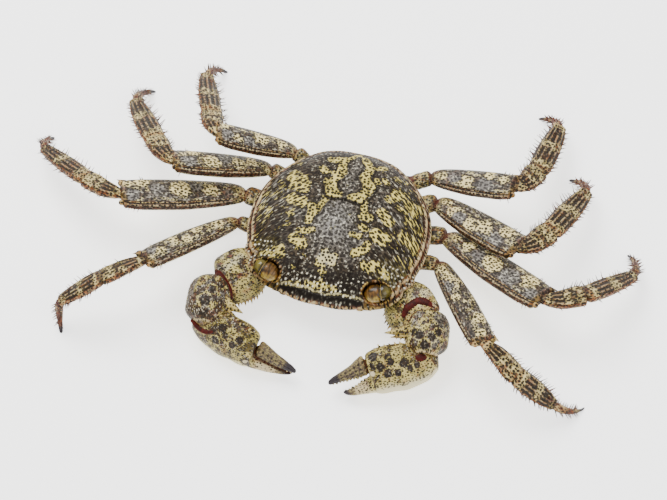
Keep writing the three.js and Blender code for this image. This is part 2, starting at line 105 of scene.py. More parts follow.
# Swellings: x, y, half lengths along x and y, and height. Both sides.
SWELLINGS = (
    (0.0, -4.0, 8.0, 8.5, 0.3),
    (3.6, 5.2, 2.0, 2.4, 0.45),
    (3.9, 10.5, 2.0, 2.2, 0.25),
    (6.8, -0.8, 1.4, 1.4, 0.3),
    (3.4, -18.9, 3.1, 2.3, 0.5),
    (9.6, -18.2, 2.4, 2.0, 0.45),
    (14.0, 4.0, 8.0, 9.0, 0.4),
    (0.0, 9.5, 4.2, 5.0, 0.2),
    (12.0, -11.8, 3.0, 2.2, 0.25),
    (0.0, 18.5, 5.0, 2.6, 0.15),
)
# Cream marks on the back: strokes from x, y to x, y, half width and strength.
CREAM_MARKS = {
    "heart arms": (
        (-6.4, 16.1, -2.7, 16.5, 1.1, 0.9),
        (-2.6, 16.0, 0.3, 20.1, 0.6, 0.8),
        (-2.9, 15.4, -2.6, 11.8, 1.0, 1.0),
        (-2.5, 11.6, -4.5, 8.3, 1.2, 1.0),
        (-4.9, 7.8, -3.6, 4.2, 1.4, 1.0),
        (-3.4, 4.2, -1.7, 4.2, 1.1, 1.0),
        (-4.5, 2.8, -6.3, -2.2, 0.9, 0.8),
        (-7.3, -0.8, -7.5, -4.9, 1.0, 0.9),
        (-8.2, 12.3, -6.9, 11.1, 1.0, 0.9),
        (-6.8, 10.8, -3.1, 11.0, 0.8, 0.8),
        (0.3, 20.1, 2.3, 19.0, 0.5, 0.7),
        (2.4, 18.3, 4.5, 15.2, 1.0, 1.0),
        (4.6, 14.8, 3.7, 11.3, 1.0, 1.0),
        (4.1, 11.0, 6.0, 8.8, 1.2, 1.0),
        (5.8, 8.5, 4.0, 4.3, 1.2, 1.0),
        (2.1, 4.2, 4.9, 4.4, 1.1, 1.0),
        (5.7, 3.1, 6.3, 0.5, 0.8, 1.0),
        (6.1, -0.9, 7.9, -0.8, 1.0, 1.0),
    ),
    "hind dots": (
        (6.9, 11.6, 7.4, 11.1, 0.9, 0.9),
        (9.3, 12.4, 9.7, 11.9, 0.9, 0.9),
        (6.1, 16.0, 8.2, 17.1, 0.9, 0.7),
        (11.3, 14.3, 14.3, 14.6, 1.2, 0.6),
    ),
    "right flank": (
        (-14.9, 8.8, -11.6, 6.6, 2.4, 0.75),
        (-14.3, 5.1, -11.1, 4.6, 1.7, 0.65),
        (-13.3, 1.1, -10.7, 0.2, 1.8, 0.85),
        (-7.8, -0.5, -6.8, -1.5, 1.5, 0.7),
        (-9.2, -8.3, -5.7, -7.3, 0.9, 0.7),
        (-10.3, -10.5, -7.6, -11.8, 1.5, 0.85),
        (-13.3, -7.0, -12.3, -5.4, 1.5, 0.5),
        (-18.5, 1.0, -17.4, 5.0, 2.1, 0.45),
        (-20.4, -6.2, -19.1, -3.3, 1.7, 0.5),
    ),
    "left flank": (
        (11.9, 6.8, 14.3, 10.2, 1.7, 0.8),
        (16.7, 7.2, 19.8, 7.3, 2.1, 0.7),
        (14.8, 4.7, 18.9, 5.1, 1.5, 0.6),
        (10.9, 1.6, 13.2, 0.0, 1.7, 0.9),
        (11.0, -5.0, 12.8, -5.5, 2.1, 0.95),
        (6.4, -11.3, 9.0, -9.5, 1.3, 0.8),
        (8.7, -8.2, 10.2, -7.4, 0.9, 0.6),
        (4.6, -6.5, 6.6, -6.6, 1.0, 0.6),
        (6.6, -3.5, 7.7, -4.1, 1.0, 0.9),
        (18.0, -3.3, 22.4, -4.3, 2.1, 0.75),
        (18.1, 2.3, 21.5, 1.3, 1.7, 0.6),
        (21.5, -6.5, 21.8, -10.7, 1.4, 0.6),
    ),
    "brow": (
        (-2.0, -15.0, 1.4, -13.4, 1.4, 0.68),
        (-1.2, -12.8, 0.9, -14.9, 1.4, 0.68),
        (-2.6, -16.6, -0.4, -16.4, 0.4, 0.8),
        (-1.6, -18.0, 0.4, -17.8, 0.3, 0.75),
        (-1.1, -16.2, -0.5, -20.3, 0.25, 1.0),
        (9.7, -13.7, 11.5, -14.2, 1.4, 0.8),
        (12.0, -12.4, 15.9, -14.5, 1.0, 0.9),
        (-17.6, -15.3, -12.9, -13.6, 0.9, 0.8),
        (-15.0, -16.1, -12.2, -15.1, 1.0, 0.7),
        (-10.2, -21.5, -6.2, -21.5, 0.6, 0.8),
        (-3.9, -21.3, 0.1, -21.1, 0.9, 0.9),
        (0.1, -21.3, 3.5, -21.2, 0.8, 0.8),
        (5.5, -21.1, 8.1, -20.9, 0.5, 0.5),
        (-9.0, -17.1, -8.1, -17.9, 0.6, 0.5),
        (-6.6, -14.3, -5.8, -14.8, 0.5, 0.5),
    ),
}

# ---- Eyes ----

EYE_STALK = {"left": ((10.9, -19.8, 12.1), (15.9, -18.5, 13.1)), "right": ((-12.0, -20.0, 11.9), (-17.0, -18.5, 12.9))}
STALK_ROWS = ((0, 0.5, 0.5, 0.5, 0), (0.15, 0.76, 0.76, 0.76, 0), (0.38, 0.96, 0.96, 0.95, 0),
              (0.65, 1.02, 1.02, 1.0, 0), (1, 0.92, 0.92, 0.92, 0))
STALK_SEMI = (2.35, 2.3)
CORNEA_SEMI = (2.1, 2.2, 2.25)

# ---- Walking legs ----

# Lengths run merus, carpus, propodus, dactyl; patches are marks on the merus:
# kind, share along it, place across it (1 is its leading edge) and radius.
LEGS = {
    "leg1": {
        "root": (15.0, -4.4, 6.6),
        "hip": {"right": (28.2, -4.0, 8.5), "left": (28.2, -4.0, 8.5)},
        "lengths": (30.0, 12.2, 13.7, 10.4),
        "widths": (7.8, 5.8, 6.0, 2.6),
        "depth": 3.8,
        "bulge": -1,
        "right": {"turn": (-50, -36, -31, -101), "rise": (16, -5, -29), "roll": (16, 22, 20, 70)},
        "left": {"turn": (-56, -32, -8, 26), "rise": (14, -10, -38), "roll": (9, -2, -10, 160)},
        "patches": {
            "right": (("cream", 0.2, 0.0, 1.6), ("cream", 0.4, -0.2, 1.5), ("cream", 0.56, 0.3, 1.4),
                      ("cream", 0.66, -0.3, 1.5), ("cream", 0.84, 0.1, 1.3), ("grey", 0.9, -0.2, 1.3)),
            "left": (("cream", 0.12, 0.25, 1.8), ("cream", 0.23, 0.1, 1.9), ("cream", 0.48, 0.5, 1.3),
                     ("cream", 0.76, -0.4, 1.9), ("grey", 0.33, 0.5, 1.6), ("cream", 0.93, 0.0, 1.4)),
        },
    },
    "leg2": {
        "root": (15.6, 4.2, 6.6),
        "hip": {"right": (28.4, 4.9, 8.5), "left": (28.4, 4.9, 8.5)},
        "lengths": (33.6, 11.1, 20.6, 11.7),
        "widths": (10.5, 6.6, 6.0, 2.7),
        "depth": 4.2,
        "bulge": 1,
        "right": {"turn": (-21, 15, 33, 84), "rise": (11, -2, -19), "roll": (10, 22, 19, 20)},
        "left": {"turn": (-30, 20, 50, 105), "rise": (11, 2, -26), "roll": (13, 12, 11, 15)},
        "patches": {
            "right": (("cream", 0.28, 0.0, 2.0), ("cream", 0.52, -0.1, 3.0), ("cream", 0.83, -0.6, 2.1),
                      ("cream", 0.95, -0.5, 1.4), ("grey", 0.71, -0.1, 2.2), ("grey", 0.92, 0.35, 2.0),
                      ("grey", 0.4, -0.2, 1.6)),
            "left": (("cream", 0.1, 0.1, 1.6), ("cream", 0.24, 0.1, 2.0), ("cream", 0.5, 0.1, 3.0),
                     ("cream", 0.83, -0.35, 2.4), ("grey", 0.36, 0.2, 1.9), ("grey", 0.69, 0.25, 3.0),
                     ("grey", 0.92, 0.4, 2.0)),
        },
    },
    "leg3": {
        "root": (14.4, 12.0, 6.8),
        "hip": {"right": (23.5, 14.2, 9.0), "left": (23.8, 14.2, 9.4)},
        "lengths": (27.8, 11.2, 21.0, 12.2),
        "widths": (9.7, 6.9, 6.7, 2.8),
        "depth": 4.0,
        "bulge": 1,
        "right": {"turn": (-22, 46, 55, 106), "rise": (20, -16, -22), "roll": (20, 20, 10, 15)},
        "left": {"turn": (-28, 48, 69, 126), "rise": (13, -8, -17), "roll": (4, 0, 0, 5)},
        "patches": {
            "right": (("cream", 0.22, -0.1, 1.9), ("cream", 0.36, 0.1, 1.6), ("cream", 0.62, 0.2, 2.6),
                      ("cream", 0.8, -0.6, 2.0), ("grey", 0.86, 0.3, 2.2), ("grey", 0.48, -0.1, 2.0)),
            "left": (("cream", 0.09, -0.2, 1.6), ("cream", 0.23, 0.3, 2.0), ("cream", 0.47, 0.45, 1.9),
                     ("cream", 0.61, 0.1, 2.3), ("cream", 0.82, -0.45, 2.1), ("grey", 0.34, 0.4, 2.0),
                     ("grey", 0.8, 0.5, 2.2)),
        },
    },
    "leg4": {
        "root": (11.0, 17.6, 7.2),
        "hip": {"right": (18.1, 20.9, 9.5), "left": (20.7, 21.7, 9.6)},
        "lengths": (23.4, 10.6, 20.2, 11.4),
        "widths": (8.5, 6.6, 6.6, 2.6),
        "depth": 3.6,
        "bulge": 1,
        "right": {"turn": (-16, 65, 69, 116), "rise": (26, -23, -23), "roll": (10, 20, 25, 25)},
        "left": {"turn": (-4, 61, 81, 138), "rise": (14, -16, -15), "roll": (2, -4, -5, 0)},
        "patches": {
            "right": (("cream", 0.2, 0.0, 1.6), ("cream", 0.47, -0.1, 2.3), ("cream", 0.77, 0.3, 1.3),
                      ("grey", 0.9, 0.2, 1.8), ("grey", 0.63, 0.4, 1.6), ("cream", 0.92, -0.6, 1.3)),
            "left": (("cream", 0.12, 0.0, 1.8), ("cream", 0.43, 0.25, 2.2), ("cream", 0.68, -0.5, 1.6),
                     ("cream", 0.88, -0.3, 1.5), ("grey", 0.27, 0.1, 1.9), ("grey", 0.66, 0.35, 2.3)),
        },
    },
}
FOOT_SINK = 0.22

# Limb profiles: share along, upper and lower edge, half thickness and lift, as
# shares of the half width and half depth.
HIP_ROWS = ((0, 0.7, 0.7, 0.6, 0), (0.3, 0.86, 0.86, 0.74, 0), (0.46, 0.64, 0.64, 0.6, 0),
            (0.6, 0.78, 0.74, 0.7, 0), (0.8, 0.76, 0.78, 0.68, 0), (1, 0.7, 0.74, 0.56, 0))
MERUS_ROWS = ((0, 0.52, 0.5, 0.55, 0), (0.1, 0.68, 0.68, 0.82, 0), (0.3, 0.88, 0.82, 1, 0),
              (0.55, 1.02, 0.92, 1, 0), (0.8, 1.02, 0.96, 0.94, 0), (0.95, 0.9, 0.92, 0.88, 0),
              (1, 0.8, 0.84, 0.74, 0))
CARPUS_ROWS = ((0, 0.42, 0.38, 0.5, 0), (0.14, 0.74, 0.5, 0.7, 0), (0.5, 1.08, 0.72, 0.84, 0),
               (0.86, 1.04, 0.94, 0.86, 0), (1, 0.92, 0.86, 0.72, 0))
PROPODUS_ROWS = ((0, 0.92, 0.86, 0.68, 0), (0.08, 0.98, 0.9, 0.78, 0), (0.34, 1.04, 0.94, 0.8, 0),
                 (0.68, 0.92, 0.8, 0.7, 0), (0.93, 0.66, 0.56, 0.6, 0), (1, 0.5, 0.46, 0.46, 0))
DACTYL_ROWS = ((0, 0.8, 0.8, 0.5, 0), (0.12, 1.3, 0.6, 0.6, 0), (0.35, 1.62, -0.08, 0.54, 0),
               (0.6, 1.5, -0.45, 0.4, 0), (0.87, 0.85, -0.3, 0.26, 0), (1, 0.22, 0.12, 0.16, 0))

# ---- Claws ----

CLAWS = {
    "right": {
        "root": (-12.0, -10.6, 6.6), "shoulder": (-17.8, -14.8, 7.6), "elbow": (-27.4, -23.6, 9.4),
        "carpus start": (-28.0, -22.0, 9.9), "wrist": (-27.4, -37.2, 8.6),
        "palm start": (-31.4, -33.2, 7.0), "knuckle": (-13.7, -40.4, 5.6), "fixed tip": (-2.8, -42.0, 2.8),
        "pivot": (-13.6, -39.0, 6.6), "finger tip": (-1.8, -42.1, 3.8), "palm roll": 62, "lobe": (0.64, -8.8),
    },
    "left": {
        "root": (12.0, -10.6, 6.6), "shoulder": (18.6, -13.6, 7.6), "elbow": (28.4, -23.2, 9.4),
        "carpus start": (27.4, -18.8, 9.9), "wrist": (29.6, -32.6, 8.8),
        "palm start": (33.2, -29.6, 7.4), "knuckle": (17.9, -39.7, 5.4), "fixed tip": (11.5, -44.3, 2.9),
        "pivot": (16.6, -36.9, 7.4), "finger tip": (7.3, -43.6, 4.4), "palm roll": 36, "lobe": (0.57, -10.2),
    },
}
MERUS_ROLL = -25
CLAW_BASE_ROWS = ((0, 2.2, 2.2, 1.8, 0), (0.4, 3.2, 3.2, 2.4, 0), (1, 2.4, 2.4, 1.8, 0))
CLAW_MERUS_ROWS = ((0, 2.4, 2.4, 1.8, 0), (0.15, 5.6, 5.2, 2.8, 0), (0.5, 7.6, 6.8, 3.4, 0),
                   (0.85, 7.2, 6.2, 3.1, -0.2), (1, 4.8, 4.6, 2.1, -0.3))
CLAW_CARPUS_ROWS = ((0, 3.0, 2.2, 2.4, 0), (0.12, 5.4, 3.8, 4.0, 0), (0.4, 6.8, 4.6, 4.8, 0),
                    (0.7, 6.6, 4.6, 4.4, 0), (0.92, 4.6, 3.4, 3.2, 0), (1, 2.8, 2.2, 2.2, 0))
PALM_ROWS = ((0, 2.0, 2.0, 1.8, 0), (0.08, 3.4, 4.2, 3.0, 0), (0.3, 5.0, 6.0, 3.7, 0),
             (0.55, 6.4, 6.3, 3.9, 0), (0.78, 7.0, 5.4, 3.8, 0), (0.92, 6.6, 5.0, 3.3, 0),
             (0.985, 5.6, 4.6, 2.7, 0), (1.0, 3.4, 4.4, 2.4, 0))
FIXED_ROWS = ((0.06, 0.9, 4.1, 2.2, 0), (0.4, 0.2, 3.1, 1.8, 0), (0.75, 0, 1.9, 1.2, 0),
              (0.94, 0.25, 0.9, 0.7, 0), (1, 0.3, 0.4, 0.4, 0))
FINGER_ROWS = ((0, 1.8, 1.8, 1.4, 0), (0.07, 3.0, 2.6, 2.0, 0), (0.22, 2.6, 2.2, 1.95, 0), (0.42, 1.9, 1.7, 1.7, 0),
               (0.75, 1.3, 0.9, 1.2, 0), (0.94, 0.9, 0.5, 0.7, 0), (1, 0.5, 0.4, 0.4, 0))
# Dark round spots on the left claw: x, y, z and radius; the right's are freer.
CLAW_SPOTS = {
    "left": (
        (18.4, -38.0, 9.9, 1.3), (20.0, -38.2, 9.8, 0.9), (17.4, -36.1, 10.3, 1.0), (21.2, -35.5, 11.0, 0.8),
        (22.2, -36.5, 10.4, 0.8), (25.5, -35.8, 10.1, 1.0), (27.3, -36.5, 9.4, 0.7), (28.9, -35.3, 9.6, 0.7),
        (22.1, -39.3, 9.0, 0.95), (24.6, -38.3, 8.9, 0.8), (24.4, -23.6, 11.0, 1.1), (26.5, -27.7, 12.8, 0.9),
        (28.0, -28.4, 13.1, 0.9), (31.1, -28.3, 13.2, 0.9), (32.4, -26.6, 13.0, 0.8), (29.8, -30.6, 12.5, 1.0),
    ),
    "right": (
        (-24.1, -39.9, 7.9, 0.9), (-21.5, -39.0, 10.2, 0.8), (-19.2, -40.8, 9.1, 0.8), (-17.2, -39.8, 10.9, 0.9),
        (-22.4, -37.6, 11.0, 1.0), (-28.8, -31.9, 13.4, 1.2), (-27.8, -28.6, 13.5, 0.9), (-30.6, -26.4, 12.8, 0.9),
    ),
}

# Ivory balls beside the movable finger: x, y, z and radius.
KNUCKLES = {"left": ((18.3, -39.9, 8.5, 0.75),), "right": ((-15.3, -42.9, 5.8, 0.65),)}
# Red skin between the claw's segments: radius, then the places it runs through.
MEMBRANES = {
    "left": {
        "elbow": (1.1, (22.4, -22.6, 10.8), (22.9, -20.7, 11.8), (24.2, -19.3, 12.3), (25.8, -18.2, 12.8),
                  (27.8, -18.4, 13.0), (29.2, -19.3, 12.7)),
        "wrist": (0.95, (27.9, -33.0, 10.5), (29.2, -33.3, 10.6), (30.6, -32.9, 10.4)),
        "knuckle": (0.6, (16.2, -37.4, 8.9), (17.1, -38.4, 8.8), (17.5, -39.3, 8.3)),
    },
    "right": {
        "elbow": (1.2, (-28.6, -21.5, 11.6), (-27.2, -23.4, 12.5), (-25.7, -25.0, 12.2), (-24.1, -26.5, 11.2),
                  (-23.2, -27.8, 9.4)),
        "wrist": (0.8, (-31.3, -36.3, 9.0), (-29.2, -37.4, 8.4), (-26.8, -38.3, 8.9), (-25.2, -38.3, 9.6)),
        "knuckle": (0.55, (-13.9, -40.4, 5.6), (-14.4, -41.4, 5.9)),
    },
}

# ---- Belly, mouth and feelers ----

STERNUM = ((0, -12.6, 4.7), (0, 18.4, 4.7))
STERNUM_ROWS = ((0, 3.4, 3.4, 0.7, 0), (0.1, 7.6, 7.6, 1.3, 0), (0.35, 13.4, 13.4, 1.5, 0),
                (0.7, 13.0, 13.0, 1.5, 0), (0.92, 8.6, 8.6, 1.4, 0), (1, 5.4, 5.4, 0.8, 0))
ABDOMEN = ((0, -7.0, 2.2), (0, 21.4, 2.2))
ABDOMEN_ROWS = ((0, 0.9, 0.9, 0.3, 0), (0.08, 2.0, 2.0, 0.45, 0), (0.35, 3.2, 3.2, 0.5, 0),
                (0.62, 5.4, 5.4, 0.5, 0.1), (0.82, 6.2, 6.2, 0.6, 0.9), (0.94, 6.0, 6.0, 0.8, 2.8),
                (1, 5.6, 5.6, 1.0, 5.0))
JAW = ((3.1, -13.4, 4.0), (3.1, -20.0, 7.9))
JAW_ROWS = ((0, 1.6, 1.6, 0.6, 0), (0.12, 2.6, 2.6, 0.9, 0), (0.8, 2.7, 2.7, 0.9, 0), (1, 1.7, 1.7, 0.6, 0))
FEELER = ((9.4, -21.9, 8.0), (13.6, -21.3, 7.4))
FEELER_ROWS = ((0, 0.6, 0.6, 0.6, 0), (0.2, 0.85, 0.85, 0.8, 0), (0.42, 0.7, 0.7, 0.6, 0),
               (0.5, 0.4, 0.4, 0.38, 0), (1, 0.26, 0.26, 0.26, 0))


# ---- Colours and sizes a user would change ----


def linear(code):
    """An sRGB hex colour as linear red, green and blue."""
    parts = [int(code[i:i + 2], 16) / 255 for i in (1, 3, 5)]
    return tuple(c / 12.92 if c <= 0.04045 else ((c + 0.055) / 1.055) ** 2.4 for c in parts)


def colour_prop(name, code, text):
    return bpy.props.FloatVectorProperty(
        name=name, description=text, default=linear(code), size=3, min=0, max=1, subtype="COLOR"
    )


class CrabColours(bpy.types.PropertyGroup):
    """The colours of the shell, claws, legs and eyes."""

    cream: colour_prop("Cream", "#cbb968", "Cream patches of the back, claws and legs")
    sand: colour_prop("Sand", "#dcc88c", "Cream patches of the legs")
    husk: colour_prop("Husk", "#b3a363", "Cream patches of the claws")
    olive: colour_prop("Olive", "#6c6022", "Yellow-green edges of the cream patches and soft joints")
    white: colour_prop("White", "#ebe5cc", "Small white grains on the brow")
    charcoal: colour_prop("Charcoal", "#3e3427", "Dark ground colour of the back")
    brown: colour_prop("Brown", "#45321b", "Dark ground colour of the legs and claws")
    # Over the middle of the back, stone paints a soft sheen.
    stone: colour_prop("Stone", "#7b7771", "Pale grey of the middle of the back")
    black: colour_prop("Black", "#110a04", "Pits, furrows and the brow's ground")
    rust: colour_prop("Rust", "#7d3c12", "Rims, joints and edges")
    membrane: colour_prop("Membrane", "#451008", "Red skin inside the claw joints")
    bone: colour_prop("Bone", "#c4ba94", "Pale under surfaces")
    horn: colour_prop("Horn", "#473b33", "Claw fingers")
    tip: colour_prop("Tip", "#2b2528", "Tips of fingers and feet")
    amber: colour_prop("Amber", "#604015", "Eye stalks")
    blush: colour_prop("Blush", "#5d4322", "Upper side of the eye stalks")
    # Gleam is a painted highlight on the lower side of the eye stalks; the rim round the cornea takes a little of it as
    # a gold tint.
    gleam: colour_prop("Gleam", "#a48a3c", "Pale lower side of the eye stalks")
    cornea: colour_prop("Cornea", "#1f1606", "Eyes")
    floor: colour_prop("Floor", "#fafaf9", "Floor the crab stands on")


def size_prop(name, value, text):
    return bpy.props.FloatProperty(name=name, description=text, default=value * MM, min=0, unit="LENGTH")


class CrabSizes(bpy.types.PropertyGroup):
    """Sizes of the shell's shape and its fine relief."""

    crown_height: size_prop("Crown height", 19.2, "Height of the top of the back above the floor")
    shell_floor: size_prop("Shell floor", 6.6, "Height of the underside of the shell")
    grain: size_prop("Grain height", 0.16, "Height of the grains on the brow")
    stria: size_prop("Ridge height", 0.1, "Height of the fine slanting ridges")
    stria_gap: size_prop("Ridge spacing", 1.35, "Distance from one fine ridge to the next")
    rim: size_prop("Rim height", 0.25, "Height of the bead round the shell's edge")
    pit_gap: size_prop("Pit spacing", 0.95, "Distance between the small dark pits")
    bristle: size_prop("Bristle length", 2.3, "Length of the stiff hairs on the legs")
    bristle_radius: size_prop("Bristle radius", 0.12, "Radius of a stiff hair at its root")
    side_fall: bpy.props.FloatProperty(
        name="Side fall", description="How fast the back falls to its sides, per millimetre squared",
        default=0.0065, min=0)
    rear_fall: bpy.props.FloatProperty(
        name="Rear fall", description="How fast the back falls to the rear, per millimetre squared",
        default=0.0035, min=0)
    front_fall: bpy.props.FloatProperty(
        name="Front fall", description="How fast the back falls to the front, per millimetre squared",
        default=0.0095, min=0)


class CrabStage(bpy.types.PropertyGroup):
    """The camera and the lights."""

    azimuth: bpy.props.FloatProperty(
        name="Azimuth", description="How far round to the crab's left the camera stands",
        default=math.radians(13.8), subtype="ANGLE")
    elevation: bpy.props.FloatProperty(
        name="Elevation", description="How high above level the camera looks from",
        default=math.radians(60.0), subtype="ANGLE")
    distance: size_prop("Distance", 498.0, "Distance from the camera to the point it looks at")
    lens: bpy.props.FloatProperty(name="Lens", description="Focal length in millimetres", default=100.0, min=1)
    key_power: bpy.props.FloatProperty(name="Key light", description="Power of the main light", default=7.0, min=0)
    fill_power: bpy.props.FloatProperty(name="Fill light", description="Power of the side light", default=3.0, min=0)


# ---- Numbers ----


def smoothstep(low, high, value):
    share = np.clip((value - low) / (high - low), 0, 1)
    return share * share * (3 - 2 * share)


def bump(distance, radius):
    """1 at no distance, easing to 0 at the radius."""
    return 1 - smoothstep(0, radius, np.abs(distance))


def along_rows(rows, share):
    """Every column of a profile at the given shares, as smooth curves that never overshoot."""
    table = np.array(rows, float)
    at = table[:, 0]
    gap = np.diff(at)
    i = np.clip(np.searchsorted(at, share, side="right") - 1, 0, len(gap) - 1)
    t = np.clip((share - at[i]) / gap[i], 0, 1)
    found = []
    for column in table[:, 1:].T:
        slope = np.diff(column) / gap
        both = slope[:-1] * slope[1:]
        lean = np.concatenate(([slope[0]], np.zeros(len(at) - 2), [slope[-1]]))
        lean[1:-1] = np.where(both > 0, 2 * both / np.where(both > 0, slope[:-1] + slope[1:], 1), 0)
        found.append(
            (2 * t**3 - 3 * t**2 + 1) * column[i] + (t**3 - 2 * t**2 + t) * gap[i] * lean[i]
            + (3 * t**2 - 2 * t**3) * column[i + 1] + (t**3 - t**2) * gap[i] * lean[i + 1]
        )
    return found


def scatter(cell, seed):
    """A steady random number from 0 to 1 for each whole-numbered cell."""
    mix = cell[:, 0] * 73856093 ^ cell[:, 1] * 19349663 ^ cell[:, 2] * 83492791 ^ (seed * 2654435761 + 97)
    mix = (mix ^ (mix >> 13)) * 1274126177 & 0x7FFFFFFF
    mix = (mix ^ (mix >> 15)) * 1103515245 + 12345 & 0x7FFFFFFF
    return mix / 0x7FFFFFFF


def drift(spots, size, seed=0):
    """A soft random field from -1 to 1, with lumps about that size in mm."""
    place = spots / size + 211.7 + seed * 17.3
    cell = np.floor(place).astype(np.int64)
    part = place - cell
    part = part * part * (3 - 2 * part)
    total = np.zeros(len(spots))
    for corner in np.ndindex(2, 2, 2):
        weight = np.prod(np.where(corner, part, 1 - part), axis=1)
        total += weight * scatter(cell + np.array(corner), seed)
    return total * 2 - 1


def grains(skin, size, seed=0):
    """The distance from each point to the nearest of a field of grains strewn over the skin, in grain spacings."""
    place = skin[:, :2] / size + 97.3
    cell = np.floor(place).astype(np.int64)
    nearest = np.full(len(skin), 9.0)
    for step in np.ndindex(3, 3):
        near = cell + np.array(step) - 1
        flat = np.column_stack([near, near[:, 0] * 0 + seed])
        core = near + np.stack([scatter(flat, seed + k) for k in range(2)], axis=1) * 0.6 + 0.2
        nearest = np.minimum(nearest, np.linalg.norm(place - core, axis=1))
    return nearest


def stroke_distance(x, y, stroke):
    """Distance on the plan from each point to a straight stroke."""
    ax, ay, bx, by = stroke[:4]
    dx, dy = bx - ax, by - ay
    t = np.clip(((x - ax) * dx + (y - ay) * dy) / max(dx * dx + dy * dy, 1e-9), 0, 1)
    return np.hypot(x - ax - t * dx, y - ay - t * dy)


# ---- Forms: a bmesh with its vertices' places in mm and the marks that colour them ----


class Form:
    """A mesh being shaped: its vertices' places in mm, the same places unrolled flat as skin, and their marks."""

    def __init__(self, bm, spots, skin=None, **marks):
        self.spots = np.array(spots, float)
        # A fresh copy has no gaps from merged vertices, so joining keeps every vertex in its order.
        part = bpy.data.meshes.new("part")
        bm.to_mesh(part)
        bm.free()
        self.bm = bmesh.new()
        self.bm.from_mesh(part)
        bpy.data.meshes.remove(part)
        self.skin = self.spots.copy() if skin is None else skin
        self.marks = {name: np.zeros(len(self.spots)) for name in MARKS}
        for name, value in marks.items():
            self.marks[name] = np.broadcast_to(np.asarray(value, float), len(self.spots)).copy()

    def join(self, other):
        part = bpy.data.meshes.new("part")
        other.bm.to_mesh(part)
        self.bm.from_mesh(part)
        bpy.data.meshes.remove(part)
        other.bm.free()
        self.spots = np.concatenate([self.spots, other.spots])
        self.skin = np.concatenate([self.skin, other.skin])
        for name in MARKS:
            self.marks[name] = np.concatenate([self.marks[name], other.marks[name]])
        return self

    def place(self):
        """Write the places to the mesh, with its faces pointing out."""
        for vertex, spot in zip(self.bm.verts, self.spots):
            vertex.co = spot
        bmesh.ops.recalc_face_normals(self.bm, faces=self.bm.faces[:])
        self.bm.normal_update()

    def normals(self):
        self.place()
        return np.array([v.normal for v in self.bm.verts])

    def tree(self):
        self.place()
        return BVHTree.FromBMesh(self.bm)

    def piece(self, name, materials, slot, *nodes):
        """Finish the form as an object on the crab's body, standing for the named nodes."""
        self.spots = (self.spots + BODY_PLACE) * MM
        self.place()
        mesh = bpy.data.meshes.new(name)
        self.bm.to_mesh(mesh)
        self.bm.free()
        for mark, values in self.marks.items():
            layer = mesh.attributes.new(mark, "FLOAT", "POINT")
            layer.data.foreach_set("value", np.clip(values, 0, 1).astype(np.float32))
        layer = mesh.attributes.new("skin", "FLOAT_VECTOR", "POINT")
        layer.data.foreach_set("vector", (self.skin * MM).astype(np.float32).ravel())
        mesh.shade_smooth()
        for material in materials:
            mesh.materials.append(material)
        made = bpy.data.objects.new(name, mesh)
        bpy.context.collection.objects.link(made)
        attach(made, "root")
        if nodes:
            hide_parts(*nodes)
        return made


def unrolled(along, turn, half, thick):
    """A place round a flattened limb laid out flat, with the seam under it."""
    cos, sin = np.abs(np.cos(turn)), np.sin(turn)
    out = np.where(sin >= 0, half * cos, half * (2 - cos)) + thick * (1 - sin)
    return np.stack([along, np.sign(np.cos(turn)) * out, np.zeros(len(turn))], axis=1)


def ball(around, along):
    """A unit ball, with each vertex's turn about the axis and its share from pole to pole."""
    bm = bmesh.new()
    bmesh.ops.create_uvsphere(bm, u_segments=around, v_segments=along, radius=1)
    unit = np.array([v.co for v in bm.verts])
    return bm, unit, np.arctan2(unit[:, 1], unit[:, 0]), np.arccos(np.clip(unit[:, 2], -1, 1)) / math.pi


